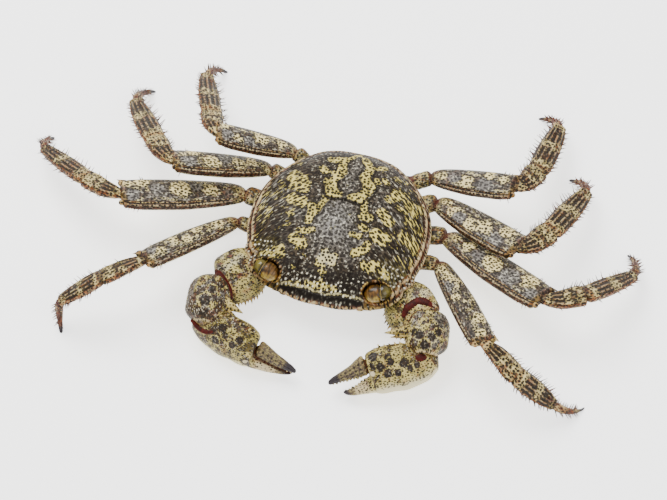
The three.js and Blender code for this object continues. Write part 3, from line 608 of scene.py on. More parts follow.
class Limb:
    """The frame and profile of one limb segment: along it, across its width and out of its face."""

    def __init__(self, start, end, roll, side, rows, half_width=1.0, half_depth=1.0, bulge=1):
        self.start = np.array(start, float)
        self.along = np.array(end, float) - self.start
        self.length = np.linalg.norm(self.along)
        self.along /= self.length
        up = np.array((0, 0, 1.0)) - self.along * self.along[2]
        up /= np.linalg.norm(up)
        across = np.cross(self.along, up) * side
        roll = math.radians(roll)
        self.normal = up * math.cos(roll) - across * math.sin(roll)
        self.width = np.cross(self.along, self.normal) * side * bulge
        self.rows, self.half_width, self.half_depth = rows, half_width, half_depth

    def point(self, share, across, out):
        """The place at a share along, and so many mm across and out."""
        share, across, out = (np.asarray(v, float)[..., None] for v in (share, across, out))
        return self.start + self.along * share * self.length + self.width * across + self.normal * out

    def surface(self, share, turn, proud=0.0, shrink=1.0, flat=0.9):
        """The place on the limb at a share along and a turn round, from the upper edge over the top."""
        upper, lower, thick, lift = along_rows(self.rows, np.clip(share, 0, 1))
        upper, lower = upper * self.half_width, lower * self.half_width
        thick = thick * self.half_depth
        cos, sin = np.cos(turn), np.sin(turn)
        out = np.sign(sin) * np.abs(sin) ** flat
        half = (upper + lower) / 2
        tilt = np.hypot(cos / np.maximum(half, 0.1), out / np.maximum(thick, 0.1))
        across = (upper - lower) / 2 + shrink * (cos * half + proud * cos / np.maximum(half, 0.1) / tilt)
        rise = lift * self.half_depth + shrink * (out * thick + proud * out / np.maximum(thick, 0.1) / tilt)
        return self.point(share, across, rise)

    def skin(self, share, turn):
        """The same place unrolled flat, in mm, from the middle of the limb's upper face."""
        upper, lower, thick, _ = along_rows(self.rows, np.clip(share, 0, 1))
        half = (upper + lower) / 2 * self.half_width
        return unrolled(share * self.length + self.start[0] * 7.3 + self.start[1] * 3.1, turn, half,
                        thick * self.half_depth)

    def form(self, around, along, relief=None, cap=(0.05, 0.05), reach=(0.0, 0.0), flat=0.9):
        """A closed form of the limb, with its share and its turn for each vertex."""
        bm, unit, turn, t = ball(around, along)
        share = reach[0] + t * (1 + reach[1] - reach[0])
        head = np.clip(t / cap[0], 0, 1)
        tail = np.clip((1 - t) / cap[1], 0, 1)
        shrink = np.sqrt(np.clip((2 - head) * head, 0, 1)) * np.sqrt(np.clip((2 - tail) * tail, 0, 1))
        skin = self.skin(share, turn)
        proud = relief(share, turn, skin) if relief else 0.0
        return Form(bm, self.surface(share, turn, proud, shrink, flat), skin), share, turn


def cone_form(root, tip, radius, point_radius=0.03, sides=5, **marks):
    """A thin cone for a spine or a stiff hair."""
    root, tip = Vector(root), Vector(tip)
    axis = tip - root
    bm = bmesh.new()
    place = Matrix.Translation((root + tip) / 2) @ axis.to_track_quat("Z", "Y").to_matrix().to_4x4()
    bmesh.ops.create_cone(bm, cap_ends=True, segments=sides, radius1=radius, radius2=point_radius,
                          depth=axis.length, matrix=place)
    return Form(bm, [v.co for v in bm.verts], **marks)


def bead_form(centre, semi, level=2, **marks):
    """A small rounded bead."""
    bm = bmesh.new()
    bmesh.ops.create_icosphere(bm, subdivisions=level, radius=1)
    return Form(bm, [np.array(centre) + np.array(v.co) * np.array(semi) for v in bm.verts], **marks)


def distance_to(tree, spots, reach=3.0):
    """Each point's distance to another form's skin, and whether it is inside it."""
    far = np.full(len(spots), reach)
    inside = np.zeros(len(spots), bool)
    for i, spot in enumerate(spots):
        place, normal, _, distance = tree.find_nearest(Vector(spot), reach)
        if place is not None:
            far[i] = distance
            inside[i] = (Vector(spot) - place).dot(normal) < 0
    return far, inside


def on_side(place, side):
    return (place[0] * side, place[1], place[2])


def far_end(start, length, turn, rise, side):
    flat = length * math.cos(math.radians(rise))
    return (
        start[0] + side * flat * math.cos(math.radians(turn)),
        start[1] + flat * math.sin(math.radians(turn)),
        start[2] + length * math.sin(math.radians(rise)),
    )


# ---- Materials ----


def add_node(tree, kind, links=(), **settings):
    """Add a node, set it up, and link or set its sockets by name or number."""
    made = tree.nodes.new(kind)
    for name, value in settings.items():
        setattr(made, name, value)
    for socket, value in dict(links).items():
        if isinstance(value, bpy.types.NodeSocket):
            tree.links.new(value, made.inputs[socket])
        else:
            made.inputs[socket].default_value = value
    return made


def shell_skin(name, ground, patch, roughness, gap, wide, colours, stretch=1.0, gloss=0.2):
    """Crab shell: horn stiffened with lime, coloured from within and dried to a low gloss. Cream patches
    carry round black pits and break into rings at their edges, over a ground of fine light and dark grit."""
    made = bpy.data.materials.new(name)
    made.use_nodes = True
    tree = made.node_tree
    tree.nodes.clear()

    def mark(label):
        return add_node(tree, "ShaderNodeAttribute", attribute_name=label).outputs["Fac"]

    def mix(share, low, high):
        low, high = ((*v, 1) if isinstance(v, tuple) else v for v in (low, high))
        return add_node(tree, "ShaderNodeMix", {0: share, 6: low, 7: high}, data_type="RGBA").outputs[2]

    def sums(way, a, b, c=0.0):
        return add_node(tree, "ShaderNodeMath", {0: a, 1: b, 2: c}, operation=way).outputs[0]

    def step(value, low, high, start=0.0, end=1.0):
        return add_node(tree, "ShaderNodeMapRange", {0: value, 1: low, 2: high, 3: start, 4: end},
                        interpolation_type="SMOOTHSTEP").outputs[0]

    def tone(label):
        return tuple(getattr(colours, label))

    place = add_node(tree, "ShaderNodeTexCoord").outputs["Object"]
    skin = add_node(tree, "ShaderNodeAttribute", attribute_name="skin").outputs["Vector"]
    drawn = add_node(tree, "ShaderNodeMapping", {"Vector": skin, "Scale": (stretch, 1, 1)}).outputs[0]
    pits = add_node(tree, "ShaderNodeTexVoronoi", {"Vector": skin, "Scale": 1 / gap, "Randomness": 0.8},
                    voronoi_dimensions="2D")
    sand = add_node(tree, "ShaderNodeTexVoronoi", {"Vector": drawn, "Scale": 2.5 / gap, "Randomness": 1.0},
                    voronoi_dimensions="2D")
    grit = add_node(tree, "ShaderNodeTexNoise", {"Vector": place, "Scale": 1500.0, "Detail": 2.0}).outputs[0]
    cloud = add_node(tree, "ShaderNodeTexNoise", {"Vector": place, "Scale": 300.0, "Detail": 3.0}).outputs[0]
    luck = add_node(tree, "ShaderNodeSeparateColor", {0: pits.outputs["Color"]})
    speck = add_node(tree, "ShaderNodeSeparateColor", {0: sand.outputs["Color"]}).outputs[0]
    away = sums("MULTIPLY_ADD", grit, 0.3, sums("SUBTRACT", pits.outputs["Distance"], 0.15))
    cream, pale, dark, white = mark("cream"), mark("pale"), mark("dark"), mark("dots")

    # Cream breaks up at its edges: each pit's ring turns cream or stays dark by itself.
    level = sums("MULTIPLY_ADD", grit, 0.5, sums("SUBTRACT", cream, 0.25))
    level = sums("MULTIPLY_ADD", luck.outputs[0], 0.34, sums("SUBTRACT", level, 0.17))
    level = sums("MULTIPLY_ADD", away, -0.5, sums("ADD", level, 0.2))
    lit = step(level, 0.44, 0.54)
    base = mix(step(speck, 0.15, 0.45, 0.9, 0.0), ground, tone("black"))
    base = mix(sums("MULTIPLY", pale, step(speck, 0.0, 0.5, 0.4, 1.0)), base, tone("stone"))
    base = mix(sums("MULTIPLY", dark, 0.85), base, tone("black"))
    light = sums("MULTIPLY", step(speck, 0.8, 0.9), sums("MULTIPLY_ADD", dark, -0.28, 0.34))
    base = mix(light, base, tone("white"))
    # Pits are wide in the cream, each with an olive ring.
    radius = sums("MULTIPLY_ADD", step(level, 0.35, 0.9), -0.05, wide)
    radius = sums("MULTIPLY_ADD", luck.outputs[1], 0.2, sums("SUBTRACT", radius, 0.1))
    rim = sums("SUBTRACT", away, radius)
    bloom = sums("MULTIPLY", step(sums("MULTIPLY_ADD", cloud, 0.5, level), 0.6, 1.0), step(rim, 0.0, 0.2, 0.35, 1.0))
    shade = mix(bloom, tone("olive"), patch)
    shade = mix(sums("MULTIPLY", pale, lit), shade, tone("bone"))
    colour = mix(lit, base, shade)
    colour = mix(sums("MULTIPLY", mark("olive"), step(grit, 0.3, 0.6, 0.5, 1.0)), colour, tone("olive"))
    colour = mix(sums("MULTIPLY", mark("warm"), step(speck, 0.0, 0.7, 0.35, 1.0)), colour, tone("rust"))
    pit = sums("MULTIPLY", step(rim, 0.05, -0.05), step(sums("MULTIPLY", pale, lit), 0.72, 0.95, 1.0, 0.04))
    colour = mix(sums("MULTIPLY", pit, step(lit, 0, 1, 0.82, 0.97)), colour, tone("black"))
    colour = mix(white, colour, tone("white"))
    horn = mark("horn")
    hard = mix(step(speck, 0.1, 0.7, 0.3, 0.0), tone("horn"), tone("cream"))
    hard = mix(step(horn, 0.6, 0.95), hard, tone("tip"))
    colour = mix(step(horn, 0.05, 0.4), colour, hard)
    colour = mix(mark("line"), colour, tone("black"))
    colour = mix(mark("joint"), colour, tone("membrane"))

    height = sums("MULTIPLY_ADD", lit, 0.5, sums("MULTIPLY", speck, 0.35))
    height = sums("MULTIPLY_ADD", pit, -0.9, height)
    relief = add_node(tree, "ShaderNodeBump", {"Height": height, "Strength": 0.6, "Distance": 0.0001})
    shader = add_node(tree, "ShaderNodeBsdfPrincipled", {
        "Base Color": colour, "Normal": relief.outputs[0], "IOR": 1.5, "Specular IOR Level": gloss,
        "Roughness": sums("MULTIPLY_ADD", cloud, 0.2, roughness - 0.1),
    })
    add_node(tree, "ShaderNodeOutputMaterial", {"Surface": shader.outputs[0]})
    return made


def plain_skin(name, low, high, scale, roughness, gloss=0.5, coat=0.0, depth=0.00005, **stains_and_painted_light):
    """A living surface of two close colours in soft clouds, with a fine unevenness and colours by mark: stains, and on
    the eyes painted highlight and sheen.
    """
    skin = bpy.data.materials.new(name)
    skin.use_nodes = True
    tree = skin.node_tree
    tree.nodes.clear()
    place = add_node(tree, "ShaderNodeTexCoord").outputs["Object"]
    cloud = add_node(tree, "ShaderNodeTexNoise", {"Vector": place, "Scale": scale, "Detail": 4.0})
    share = add_node(tree, "ShaderNodeMapRange", {0: cloud.outputs[0], 1: 0.38, 2: 0.62})
    colour = add_node(tree, "ShaderNodeMix", {0: share.outputs[0], 6: (*low, 1), 7: (*high, 1)}, data_type="RGBA")
    for label, stain_and_painted_light in stains_and_painted_light.items():
        where = add_node(tree, "ShaderNodeAttribute", attribute_name=label)
        colour = add_node(tree, "ShaderNodeMix", {0: where.outputs["Fac"], 6: colour.outputs[2], 7: (*stain_and_painted_light, 1)},
                          data_type="RGBA")
    relief = add_node(tree, "ShaderNodeBump", {"Height": cloud.outputs[0], "Strength": 0.4, "Distance": depth})
    shader = add_node(tree, "ShaderNodeBsdfPrincipled", {
        "Base Color": colour.outputs[2], "Normal": relief.outputs[0], "Roughness": roughness, "IOR": 1.5,
        "Specular IOR Level": gloss, "Coat Weight": coat, "Coat Roughness": 0.05,
    })
    add_node(tree, "ShaderNodeOutputMaterial", {"Surface": shader.outputs[0]})
    return skin


def material(name):
    """The named finish, made the first time it is asked for."""
    found = bpy.data.materials.get(name)
    if found:
        return found
    colours = bpy.context.scene.crab_colours
    gap = bpy.context.scene.crab_sizes.pit_gap
    tones = {key: tuple(getattr(colours, key)) for key in CrabColours.__annotations__}
    if name == "mottled_back":
        return shell_skin(name, tones["charcoal"], tones["cream"], 0.58, gap, 0.39, colours, 1.0, 0.12)
    if name == "mottled_leg":
        return shell_skin(name, tones["brown"], tones["sand"], 0.5, gap * 0.98, 0.38, colours, 0.5)
    if name == "mottled_claw":
        return shell_skin(name, tones["brown"], tones["husk"], 0.46, gap * 0.9, 0.31, colours)
    if name == "belly_plate":
        # Belly plates: thin, barely pigmented shell, smooth and dull.
        return plain_skin(name, tones["bone"], tuple(v * 0.82 for v in tones["bone"]), 320.0, 0.5)
    if name == "eye_stalk":
        # Eye stalk: thin glossy shell over amber flesh, veined brown, with a painted highlight in pale gold along its
        # lower side.
        return plain_skin(name, tones["amber"], tuple(v * 0.42 for v in tones["amber"]), 900.0, 0.28, 0.3, 0.0,
                          pale=tones["gleam"], warm=tones["blush"], line=tones["cornea"])
    if name == "cornea":
        # Cornea: a smooth, wet-looking lens skin, dark brown with green-gold clouds and a green-gold painted sheen on
        # its upper outer side.
        return plain_skin(name, tones["cornea"], tuple(v * 0.45 for v in tones["cornea"]), 700.0, 0.1, 0.35, 0.0,
                          0.00001, olive=tones["olive"], pale=tones["gleam"])
    if name == "joint_membrane":
        # Joint membrane: thin soft skin, dark red and slightly moist.
        return plain_skin(name, tones["membrane"], tuple(v * 0.35 for v in tones["membrane"]), 900.0, 0.55, 0.12)
    if name == "bristle_horn":
        # Bristles: bare horn, brown at the tip and rusty at the root.
        return plain_skin(name, tuple(v * 0.5 for v in tones["rust"]), tuple(v * 0.4 for v in tones["horn"]), 240.0,
                          0.45)
    raise ValueError(f"there is no finish called {name}")


# ---- Back ----


def shell_ring():
    """The closed outline as turn, radius, rim height and lateness, over more than one full turn."""
    half = list(SHELL_OUTLINE.values())
    loop = half + [(-x, y, z, late) for x, y, z, late in half[1:-1]]
    ring = sorted((math.atan2(y, x), math.hypot(x, y), z, late) for x, y, z, late in loop)
    full = 2 * math.pi
    return [(a - full, *rest) for a, *rest in ring[-3:]] + ring + [(a + full, *rest) for a, *rest in ring[:3]]


def crown(x, y, sizes):
    fall = np.where(y > 0, sizes.rear_fall, sizes.front_fall)
    return sizes.crown_height / MM - sizes.side_fall * x * x - fall * y * y


def shell_grain(x, y):
    """The lie of the back's pattern: stretched along the slanting ridges of the flanks."""
    out = np.maximum(np.abs(x) - 9, 0)
    along = np.sign(x) * (np.abs(x) - 0.42 * out * out / (out + 3))
    return np.stack([along, y + 0.22 * out + 0.036 * out * out, x * 0], axis=1)


def shell_relief(x, y, share, spots, skin, sizes):
    """How far each point of the back stands proud, and its colour marks."""
    ax = np.abs(x)
    proud = np.zeros(len(x))
    for cx, cy, rx, ry, height in SWELLINGS:
        proud += height * np.exp(-(((ax - cx) / rx) ** 2) - ((y - cy) / ry) ** 2)
    wx = x + 0.3 * drift(spots, 2.2, 1) + 0.15 * drift(spots, 0.8, 2)
    wy = y + 0.3 * drift(spots, 2.2, 3) + 0.15 * drift(spots, 0.8, 4)
    groove, stain_and_painted_light = np.zeros(len(x)), np.zeros(len(x))
    # Each furrow sinks, and its colour is darkened along it: painted shade in the groove.
    for ax_, ay_, bx_, by_, half, depth, furrow_shade in FURROWS:
        away = stroke_distance(np.abs(wx) * 0.5 + ax * 0.5, wy * 0.5 + y * 0.5, (ax_, ay_, bx_, by_))
        groove = np.maximum(groove, depth * bump(away, half * 2))
        stain_and_painted_light = np.maximum(stain_and_painted_light, furrow_shade * bump(away, half * 1.7))
    proud -= groove

    # Slanting ridges over the flanks, level near the middle and steeper toward the edge.
    phase = (skin[:, 1] + 0.3 * drift(spots, 5, 5)) / (sizes.stria_gap / MM)
    crest = 0.5 + 0.5 * np.cos(2 * math.pi * phase)
    flank = smoothstep(7.5, 13.0, ax + 0.1 * y) * smoothstep(-17.0, -13.5, y + 0.35 * (ax - 17))
    flank *= 1 - smoothstep(14.0, 19.0, y)
    broken = smoothstep(-0.6, 0.15, drift(np.stack([x, y * 1.6, x * 0], axis=1), 2.4, 6))
    stria = flank * broken * crest**1.3
    proud += sizes.stria / MM * stria

    # Short level ridges on the stomach and brow.
    cross = 0.5 + 0.5 * np.cos(2 * math.pi * (y + 0.3 * drift(spots, 3, 7)) / 1.3)
    middle = (1 - smoothstep(9, 13, ax)) * smoothstep(-0.15, 0.35, drift(spots * (0.6, 1.6, 1), 2.2, 8))
    proud += 0.05 * middle * cross * (1 - smoothstep(0, 6, y))

    ledge = -22.4 + 0.0095 * x * x
    front = 1 - smoothstep(10.6, 12.0, ax)
    above = y - ledge
    brow = smoothstep(7.6, 4.6, above + 1.4 * drift(spots, 3, 9)) * (1 - smoothstep(13.0, 15.0, ax))
    rows = smoothstep(5.2, 2.4, above + 1.2 * drift(spots, 2.6, 10)) * (1 - smoothstep(12.0, 14.0, ax))
    corner = smoothstep(12.0, 15.0, ax) * (1 - smoothstep(-12.5, -9.5, y)) * smoothstep(-17.8, -16.2, y + 0.28 * (ax - 16))
    field = grains(spots, 1.22, 11)
    low = grains(spots * (0.6, 1, 1), 0.8, 12)
    face = smoothstep(-0.5, -0.8, above) * front
    bead = bump(field, 0.42) * np.clip(rows * (1 - face) + corner, 0, 1) + bump(low, 0.42) * face
    proud += sizes.grain / MM * bead

    # The brow's ledge, the furrow under it and the edge of the front.
    proud += 0.4 * bump(above, 0.7) * front
    under = bump(above + 0.68, 0.62) * front
    proud -= 0.3 * under

    # The double bead round the rim, and the toothed edge of the front.
    side_rim = smoothstep(-19.8, -18.6, y)
    edge = (1 - share) * 24
    proud += sizes.rim / MM * (bump(edge - 0.2, 0.45) + bump(edge - 1.45, 0.5)) * side_rim
    proud -= 0.2 * bump(edge - 0.82, 0.45) * side_rim
    front_rim = bump(edge - 0.15, 0.5) * (1 - side_rim)
    crenel = 0.5 + 0.5 * np.sin(x * 2 * math.pi / 1.0 + 1.5 * drift(spots, 1.8, 12))
    crenel *= 1 - smoothstep(10.6, 12.2, ax)
    proud += (0.1 + 0.32 * crenel) * front_rim

    cream, outline = np.zeros(len(x)), np.full(len(x), 9.0)
    for name, strokes in CREAM_MARKS.items():
        for stroke in strokes:
            away = stroke_distance(wx, wy, stroke)
            half = stroke[4] * (1.1 if name == "heart arms" else 1.0)
            cream = np.maximum(cream, stroke[5] * smoothstep(half * 1.4 + 0.2, half * 0.45, away))
            if name == "heart arms":
                outline = np.minimum(outline, away - half)
    heart = cream.copy() * (1 - smoothstep(8, 9, ax)) * smoothstep(-6, -5, y)
    mottle = drift(spots, 2.3, 13) + 0.5 * drift(spots, 1.1, 14)
    cream = np.maximum(cream * 1.12, np.clip(0.24 + 0.36 * mottle, 0, 0.6) * smoothstep(8, 12, ax))
    cream = np.maximum(cream, 0.18 + 0.22 * mottle) * (1 - 0.2 * brow)
    left = smoothstep(12, 16, x)
    cream = np.maximum(cream, (0.52 + 0.26 * left) * stria * smoothstep(-0.8, 0.3, drift(spots, 5.0, 15)))
    cream = np.maximum(cream, 0.55 * smoothstep(15, 21, -x) * smoothstep(-0.7, 0.3, mottle))
    cut = flank * smoothstep(0.62, 0.25, crest) * smoothstep(-0.5, 0.3, drift(spots, 1.6, 16))
    # Painted sheen: a soft pale grey patch over the middle of the back, fading its dark patches.
    middle_sheen = np.exp(-(((x + 0.5) / 6.0) ** 2) - ((y + 4.0) / 7.5) ** 2)
    sill = bump(above - 0.1 + 0.25 * drift(spots, 1.7, 41), 0.44) * front * smoothstep(-1.0, -0.4, mottle)
    cream = np.maximum(cream, sill * 1.2)
    # Cream is taken out of the furrows as part of their painted shade.
    cream = cream * (1 - np.clip(stain_and_painted_light * 1.4, 0, 1)) * (1 - 0.4 * cut) * (1 - 0.9 * face)
    pale = np.clip(0.95 * middle_sheen + 0.5 * smoothstep(17, 22, -x + 0.15 * y) + 0.3 * drift(spots, 4.5, 17)
                   + 0.15 * np.exp(-((x / 3.5) ** 2) - ((y - 11) / 6) ** 2), 0, 1)
    pale *= (1 - smoothstep(0.3, 0.6, cream)) * (1 - brow)
    patches = smoothstep(0.0, 0.55, drift(spots, 4.0, 20))
    dark = np.clip(brow * (0.6 + 0.6 * drift(spots, 2.6, 19)) + 0.8 * corner * smoothstep(-0.4, 0.2, mottle)
                   + 0.35 * cut + under + face + 0.5 * patches * (1 - middle_sheen), 0, 1)
    dark *= 1 - middle_sheen * 0.6
    pale = np.maximum(pale, 0.7 * smoothstep(0.25, 0.6, np.exp(-(((wx + 0.3) / 3.0) ** 2) - ((wy + 14.0) / 2.4) ** 2)))
    pale = np.maximum(pale, 0.84 * smoothstep(0.3, 0.8, sill))
    few = smoothstep(-0.75, -0.1, drift(spots, 1.3, 23)) * (0.8 + 0.3 * drift(spots, 3.0, 25))
    dots = np.clip(smoothstep(0.5, 0.72, bead) * few, 0, 1)
    trim = side_rim * smoothstep(2.1, 1.7, edge)
    ridge = np.clip(bump(edge - 0.16, 0.6) + bump(edge - 1.45, 0.66), 0, 1) * side_rim
    seam = np.clip(bump(edge - 0.82, 0.32) + 0.7 * bump(edge - 2.12, 0.26), 0, 1) * side_rim
    toothed = front_rim * (0.62 + 0.38 * crenel)
    cream = cream * (1 - trim) + ridge + toothed
    pale = pale * (1 - trim) + 0.88 * ridge + 0.8 * toothed
    dark = dark * (1 - trim) * (1 - front_rim)
    warm = 0.62 * ridge + 0.85 * seam + toothed * 0.5 + 0.3 * front_rim
    warm = np.maximum(warm, 0.75 * dots * corner * smoothstep(0.0, 0.4, drift(spots, 1.6, 22)))
    olive = np.clip(0.5 * heart * smoothstep(-0.3, 0.5, drift(spots, 1.8, 24)), 0, 1)
    olive = np.maximum(olive, 0.62 * sill + 0.35 * corner)
    # The smooth lip below each eye socket.
    lip = smoothstep(10.6, 12.2, ax) * (1 - smoothstep(17.6, 19.0, ax)) * (1 - side_rim) * smoothstep(2.4, 1.6, edge)
    olive = np.maximum(olive * (1 - lip), lip * (0.75 + 0.25 * drift(spots, 1.4, 26)))
    warm = warm * (1 - lip) + 0.35 * lip
    dark = dark * (1 - lip)
    cream = cream * (1 - lip) + lip * (0.4 + 0.35 * bump(edge - 0.1, 0.4))
    line = np.clip(stain_and_painted_light, 0, 0.95) + under + 0.5 * seam + 0.5 * face * (1 - front_rim) + 0.75 * bump(outline - 0.5, 0.5) * (1 - brow)
    line = np.maximum(line, 0.6 * lip * smoothstep(0.2, 0.6, drift(spots, 0.9, 27)))
    return proud, {"cream": cream, "pale": pale, "dark": dark, "dots": dots * (1 - front_rim), "warm": warm,
                   "olive": olive, "line": np.clip(line, 0, 0.95)}


def shell_socket(spots, marks, side_name):
    """Sink the eye socket: points inside it move on, away from its mouth, to its far wall."""
    centre = np.array(SOCKET_CENTRE[side_name])
    mouth = centre + on_side(SOCKET_MOUTH, SIDES[side_name])
    semi = np.array(SOCKET_SEMI)
    local, eye = (spots - centre) / semi, (mouth - centre) / semi
    depth = 1 - np.linalg.norm(local, axis=1)
    inside = depth > 0
    ray = local - eye
    a = (ray * ray).sum(1)
    b = (ray * eye).sum(1)
    c = (eye * eye).sum() - 1
    reach = (-b + np.sqrt(np.maximum(b * b - a * c, 0))) / np.maximum(a, 1e-9)
    sunk = centre + (eye + ray * np.maximum(reach, 1)[:, None]) * semi
    spots = np.where(inside[:, None], sunk, spots)
    away = np.abs(depth) * semi.mean()
    outside = ~inside
    ring = bump(away - 0.25, 0.7) * outside
    out = (spots - centre) / np.maximum(np.linalg.norm(spots - centre, axis=1), 0.01)[:, None]
    beads = 0.5 + 0.5 * np.cos(np.arctan2(spots[:, 1] - centre[1], spots[:, 0] - centre[0]) * 30)
    spots = spots + out * (ring * (0.14 + 0.14 * beads))[:, None]
    spots[:, 2] += ring * 0.2
    # A cream and rust bead ring runs round the socket; inside it the wall is painted dark brown-olive, a painted shade
    # in the recess.
    for name, level in (("cream", 0.75), ("warm", 0.62), ("olive", 0.2)):
        marks[name] = np.where(outside, marks[name] * (1 - ring) + level * ring * (0.6 + 0.4 * beads), 0.45)
    marks["dark"] = np.where(inside, 0.5, marks["dark"] * (1 - ring))
    marks["dots"] = np.where(inside, 0.0, marks["dots"] * (1 - ring))
    marks["line"] = np.where(inside, 0.2, marks["line"] * (1 - ring) + 0.6 * bump(away - 0.95, 0.35) * outside)
    marks["cream"] = np.where(inside, 0.1, marks["cream"])
    return spots


class CRAB_OT_back(bpy.types.Operator):
    """Build the back shell with its furrows, ridges, grains, teeth and eye sockets"""

    bl_idname = "crab.back"
    bl_label = "Back shell"

    def execute(self, context):
        sizes = context.scene.crab_sizes
        cells = 280
        bm = bmesh.new()
        bmesh.ops.create_grid(bm, x_segments=cells, y_segments=cells, size=1.0)
        flat = np.array([v.co for v in bm.verts])
        u, v = flat[:, 0], flat[:, 1]
        dx, dy = u * np.sqrt(1 - v * v / 2), v * np.sqrt(1 - u * u / 2)
        share = np.clip(np.hypot(dx, dy), 0, 1)
        turn = np.arctan2(dy, dx)
        radius, rim, late = along_rows(shell_ring(), turn)
        x, y = radius * share * np.cos(turn), radius * share * np.sin(turn)
        drop = crown(radius * np.cos(turn), radius * np.sin(turn), sizes) - rim
        z = crown(x, y, sizes) - drop * share**late
        shell = Form(bm, np.stack([x, y, z], axis=1), shell_grain(x, y))
        bm = shell.bm
        proud, marks = shell_relief(x, y, share, shell.spots, shell.skin, sizes)
        normals = shell.normals()
        normals *= np.sign(normals[:, 2].sum())
        fade = 1 - 0.5 * smoothstep(0.97, 1.0, share)
        shell.spots = shell.spots + normals * (proud * fade)[:, None]
        shell.marks.update(marks)
        for side_name in SIDES:
            shell.spots = shell_socket(shell.spots, shell.marks, side_name)

        # The wall under the rim, ring by ring, then the flat floor of the shell.
        edges = [e for e in bm.edges if e.is_boundary]
        first = shell.spots.copy()
        height, spots, marks = sizes.shell_floor / MM, [shell.spots], {k: [m] for k, m in shell.marks.items()}
        skins = [shell.skin]
        source = {v: v.index for v in bm.verts}
        bm.verts.index_update()
        for v_ in bm.verts:
            source[v_] = v_.index
        for scale, down in SHELL_UNDER:
            grown = bmesh.ops.extrude_edge_only(bm, edges=edges)["geom"]
            fresh = [g for g in grown if isinstance(g, bmesh.types.BMVert)]
            edges = [g for g in grown if isinstance(g, bmesh.types.BMEdge) and g.is_boundary]
            origins = []
            for vert in fresh:
                near = next(e.other_vert(vert) for e in vert.link_edges if e.other_vert(vert) not in fresh)
                source[vert] = source[near]
                origins.append(source[near])
            rims = first[origins]
            rows = np.stack([rims[:, 0] * scale, rims[:, 1] * scale,
                             rims[:, 2] + (height - rims[:, 2]) * down], axis=1)
            spots.append(rows)
            skins.append(shell.skin[origins] * (1 + 4.5 * down / 24))
            fade = min(1.0, down * 4)
            for name in MARKS:
                marks[name].append(shell.marks[name][origins] * (1 - fade))
            marks["cream"][-1] = np.maximum(marks["cream"][-1], 0.62 * fade)
            marks["pale"][-1] = np.full(len(origins), 0.7)
        bmesh.ops.contextual_create(bm, geom=edges)
        shell.spots = np.concatenate(spots)
        shell.skin = np.concatenate(skins)
        shell.marks = {name: np.concatenate(rows) for name, rows in marks.items()}
        shell.piece("back_shell", [material("mottled_back")], "carapace_shell", "carapace")
        return {"FINISHED"}


# ---- Eyes ----


class CRAB_OT_eyes(bpy.types.Operator):
    """Build the two eyes: short stalks with a glossy cornea at the outer end"""

    bl_idname = "crab.eyes"
    bl_label = "Eyes"

    def execute(self, context):
        for name, side in SIDES.items():
            start, end = EYE_STALK[name]
            limb = Limb(start, end, 0, side, STALK_ROWS, *STALK_SEMI)

            def folds(share, turn, spots):
                return -0.1 * bump(share - 0.3, 0.05) + 0.07 * drift(spots, 1.3, 31)

            stalk, share, turn = limb.form(64, 56, folds, cap=(0.4, 0.25), flat=1.0)
            out = stalk.normals()
            out *= np.sign((out * (stalk.spots - stalk.spots.mean(axis=0))).sum())
            veins = drift(stalk.spots * (1.0, 1.0, 2.0), 0.75, 33)
            # Painted highlight: the stalk's lower front side is painted pale gold, and its dark marks fade there.
            low = smoothstep(0.4, 1.05, -out[:, 1] - 0.15 * out[:, 2] + 0.25 * veins)
            top = smoothstep(0.35, 0.75, out[:, 2] + 0.35 * out[:, 1] + 0.2 * veins)
            mottled = 0.95 if side < 0 else 0.12
            stalk.marks["pale"] = 0.85 * low
            stalk.marks["warm"] = np.clip(mottled * (0.35 + 0.9 * top) * smoothstep(-0.5, 0.3, veins), 0, 0.85) * (1 - low)
            rings = sum(bump(share + 0.02 * veins - at, 0.035) for at in (0.34, 0.5, 0.66, 0.82))
            stalk.marks["line"] = np.clip(0.8 * smoothstep(0.2, 0.5, drift(stalk.spots, 0.7, 34))
                                          + 0.8 * rings, 0, 0.85) * (1 - 0.5 * low)
            stalk.piece(f"eye_{name}_stalk", [material("eye_stalk")], "eye", f"eye_{name}")
            centre, semi = end, CORNEA_SEMI
            cornea = bead_form(centre, semi, 5)
            out = (cornea.spots - centre) / semi
            cornea.marks["olive"] = 0.5 * smoothstep(-0.1, 0.6, drift(cornea.spots, 1.1, 35))
            # Painted sheen: the cornea's upper outer side is painted lighter olive.
            rise = np.array(on_side((0.62, -0.2, 0.76), side))
            cornea.marks["olive"] = np.clip(cornea.marks["olive"] + 0.45 * smoothstep(0.6, 1.0, out @ rise), 0, 0.9)
            cornea.piece(f"eye_{name}_cornea", [material("cornea")], "eye")
            # The rim where the cornea meets the stalk.
            bm = bmesh.new()
            bmesh.ops.create_circle(bm, segments=8, radius=0.1, matrix=Matrix.Translation((semi[1] * 0.985, 0, 0))
                                    @ Matrix.Rotation(math.pi / 2, 4, "X"))
            bmesh.ops.spin(bm, geom=bm.verts[:] + bm.edges[:], angle=2 * math.pi, steps=48, axis=(0, 0, 1),
                           cent=(0, 0, 0), use_merge=True)
            bmesh.ops.remove_doubles(bm, verts=bm.verts[:], dist=1e-4)
            axis = (Vector(end) - Vector(start)).normalized()
            swing = axis.to_track_quat("Z", "Y").to_matrix()
            hub = np.array(centre) - np.array(axis) * 0.35
            rim = Form(bm, [hub + np.array(swing @ v.co) for v in bm.verts], pale=0.35)
            rim.piece(f"eye_{name}_rim", [material("eye_stalk")], "eye")
        return {"FINISHED"}


# ---- Walking legs ----


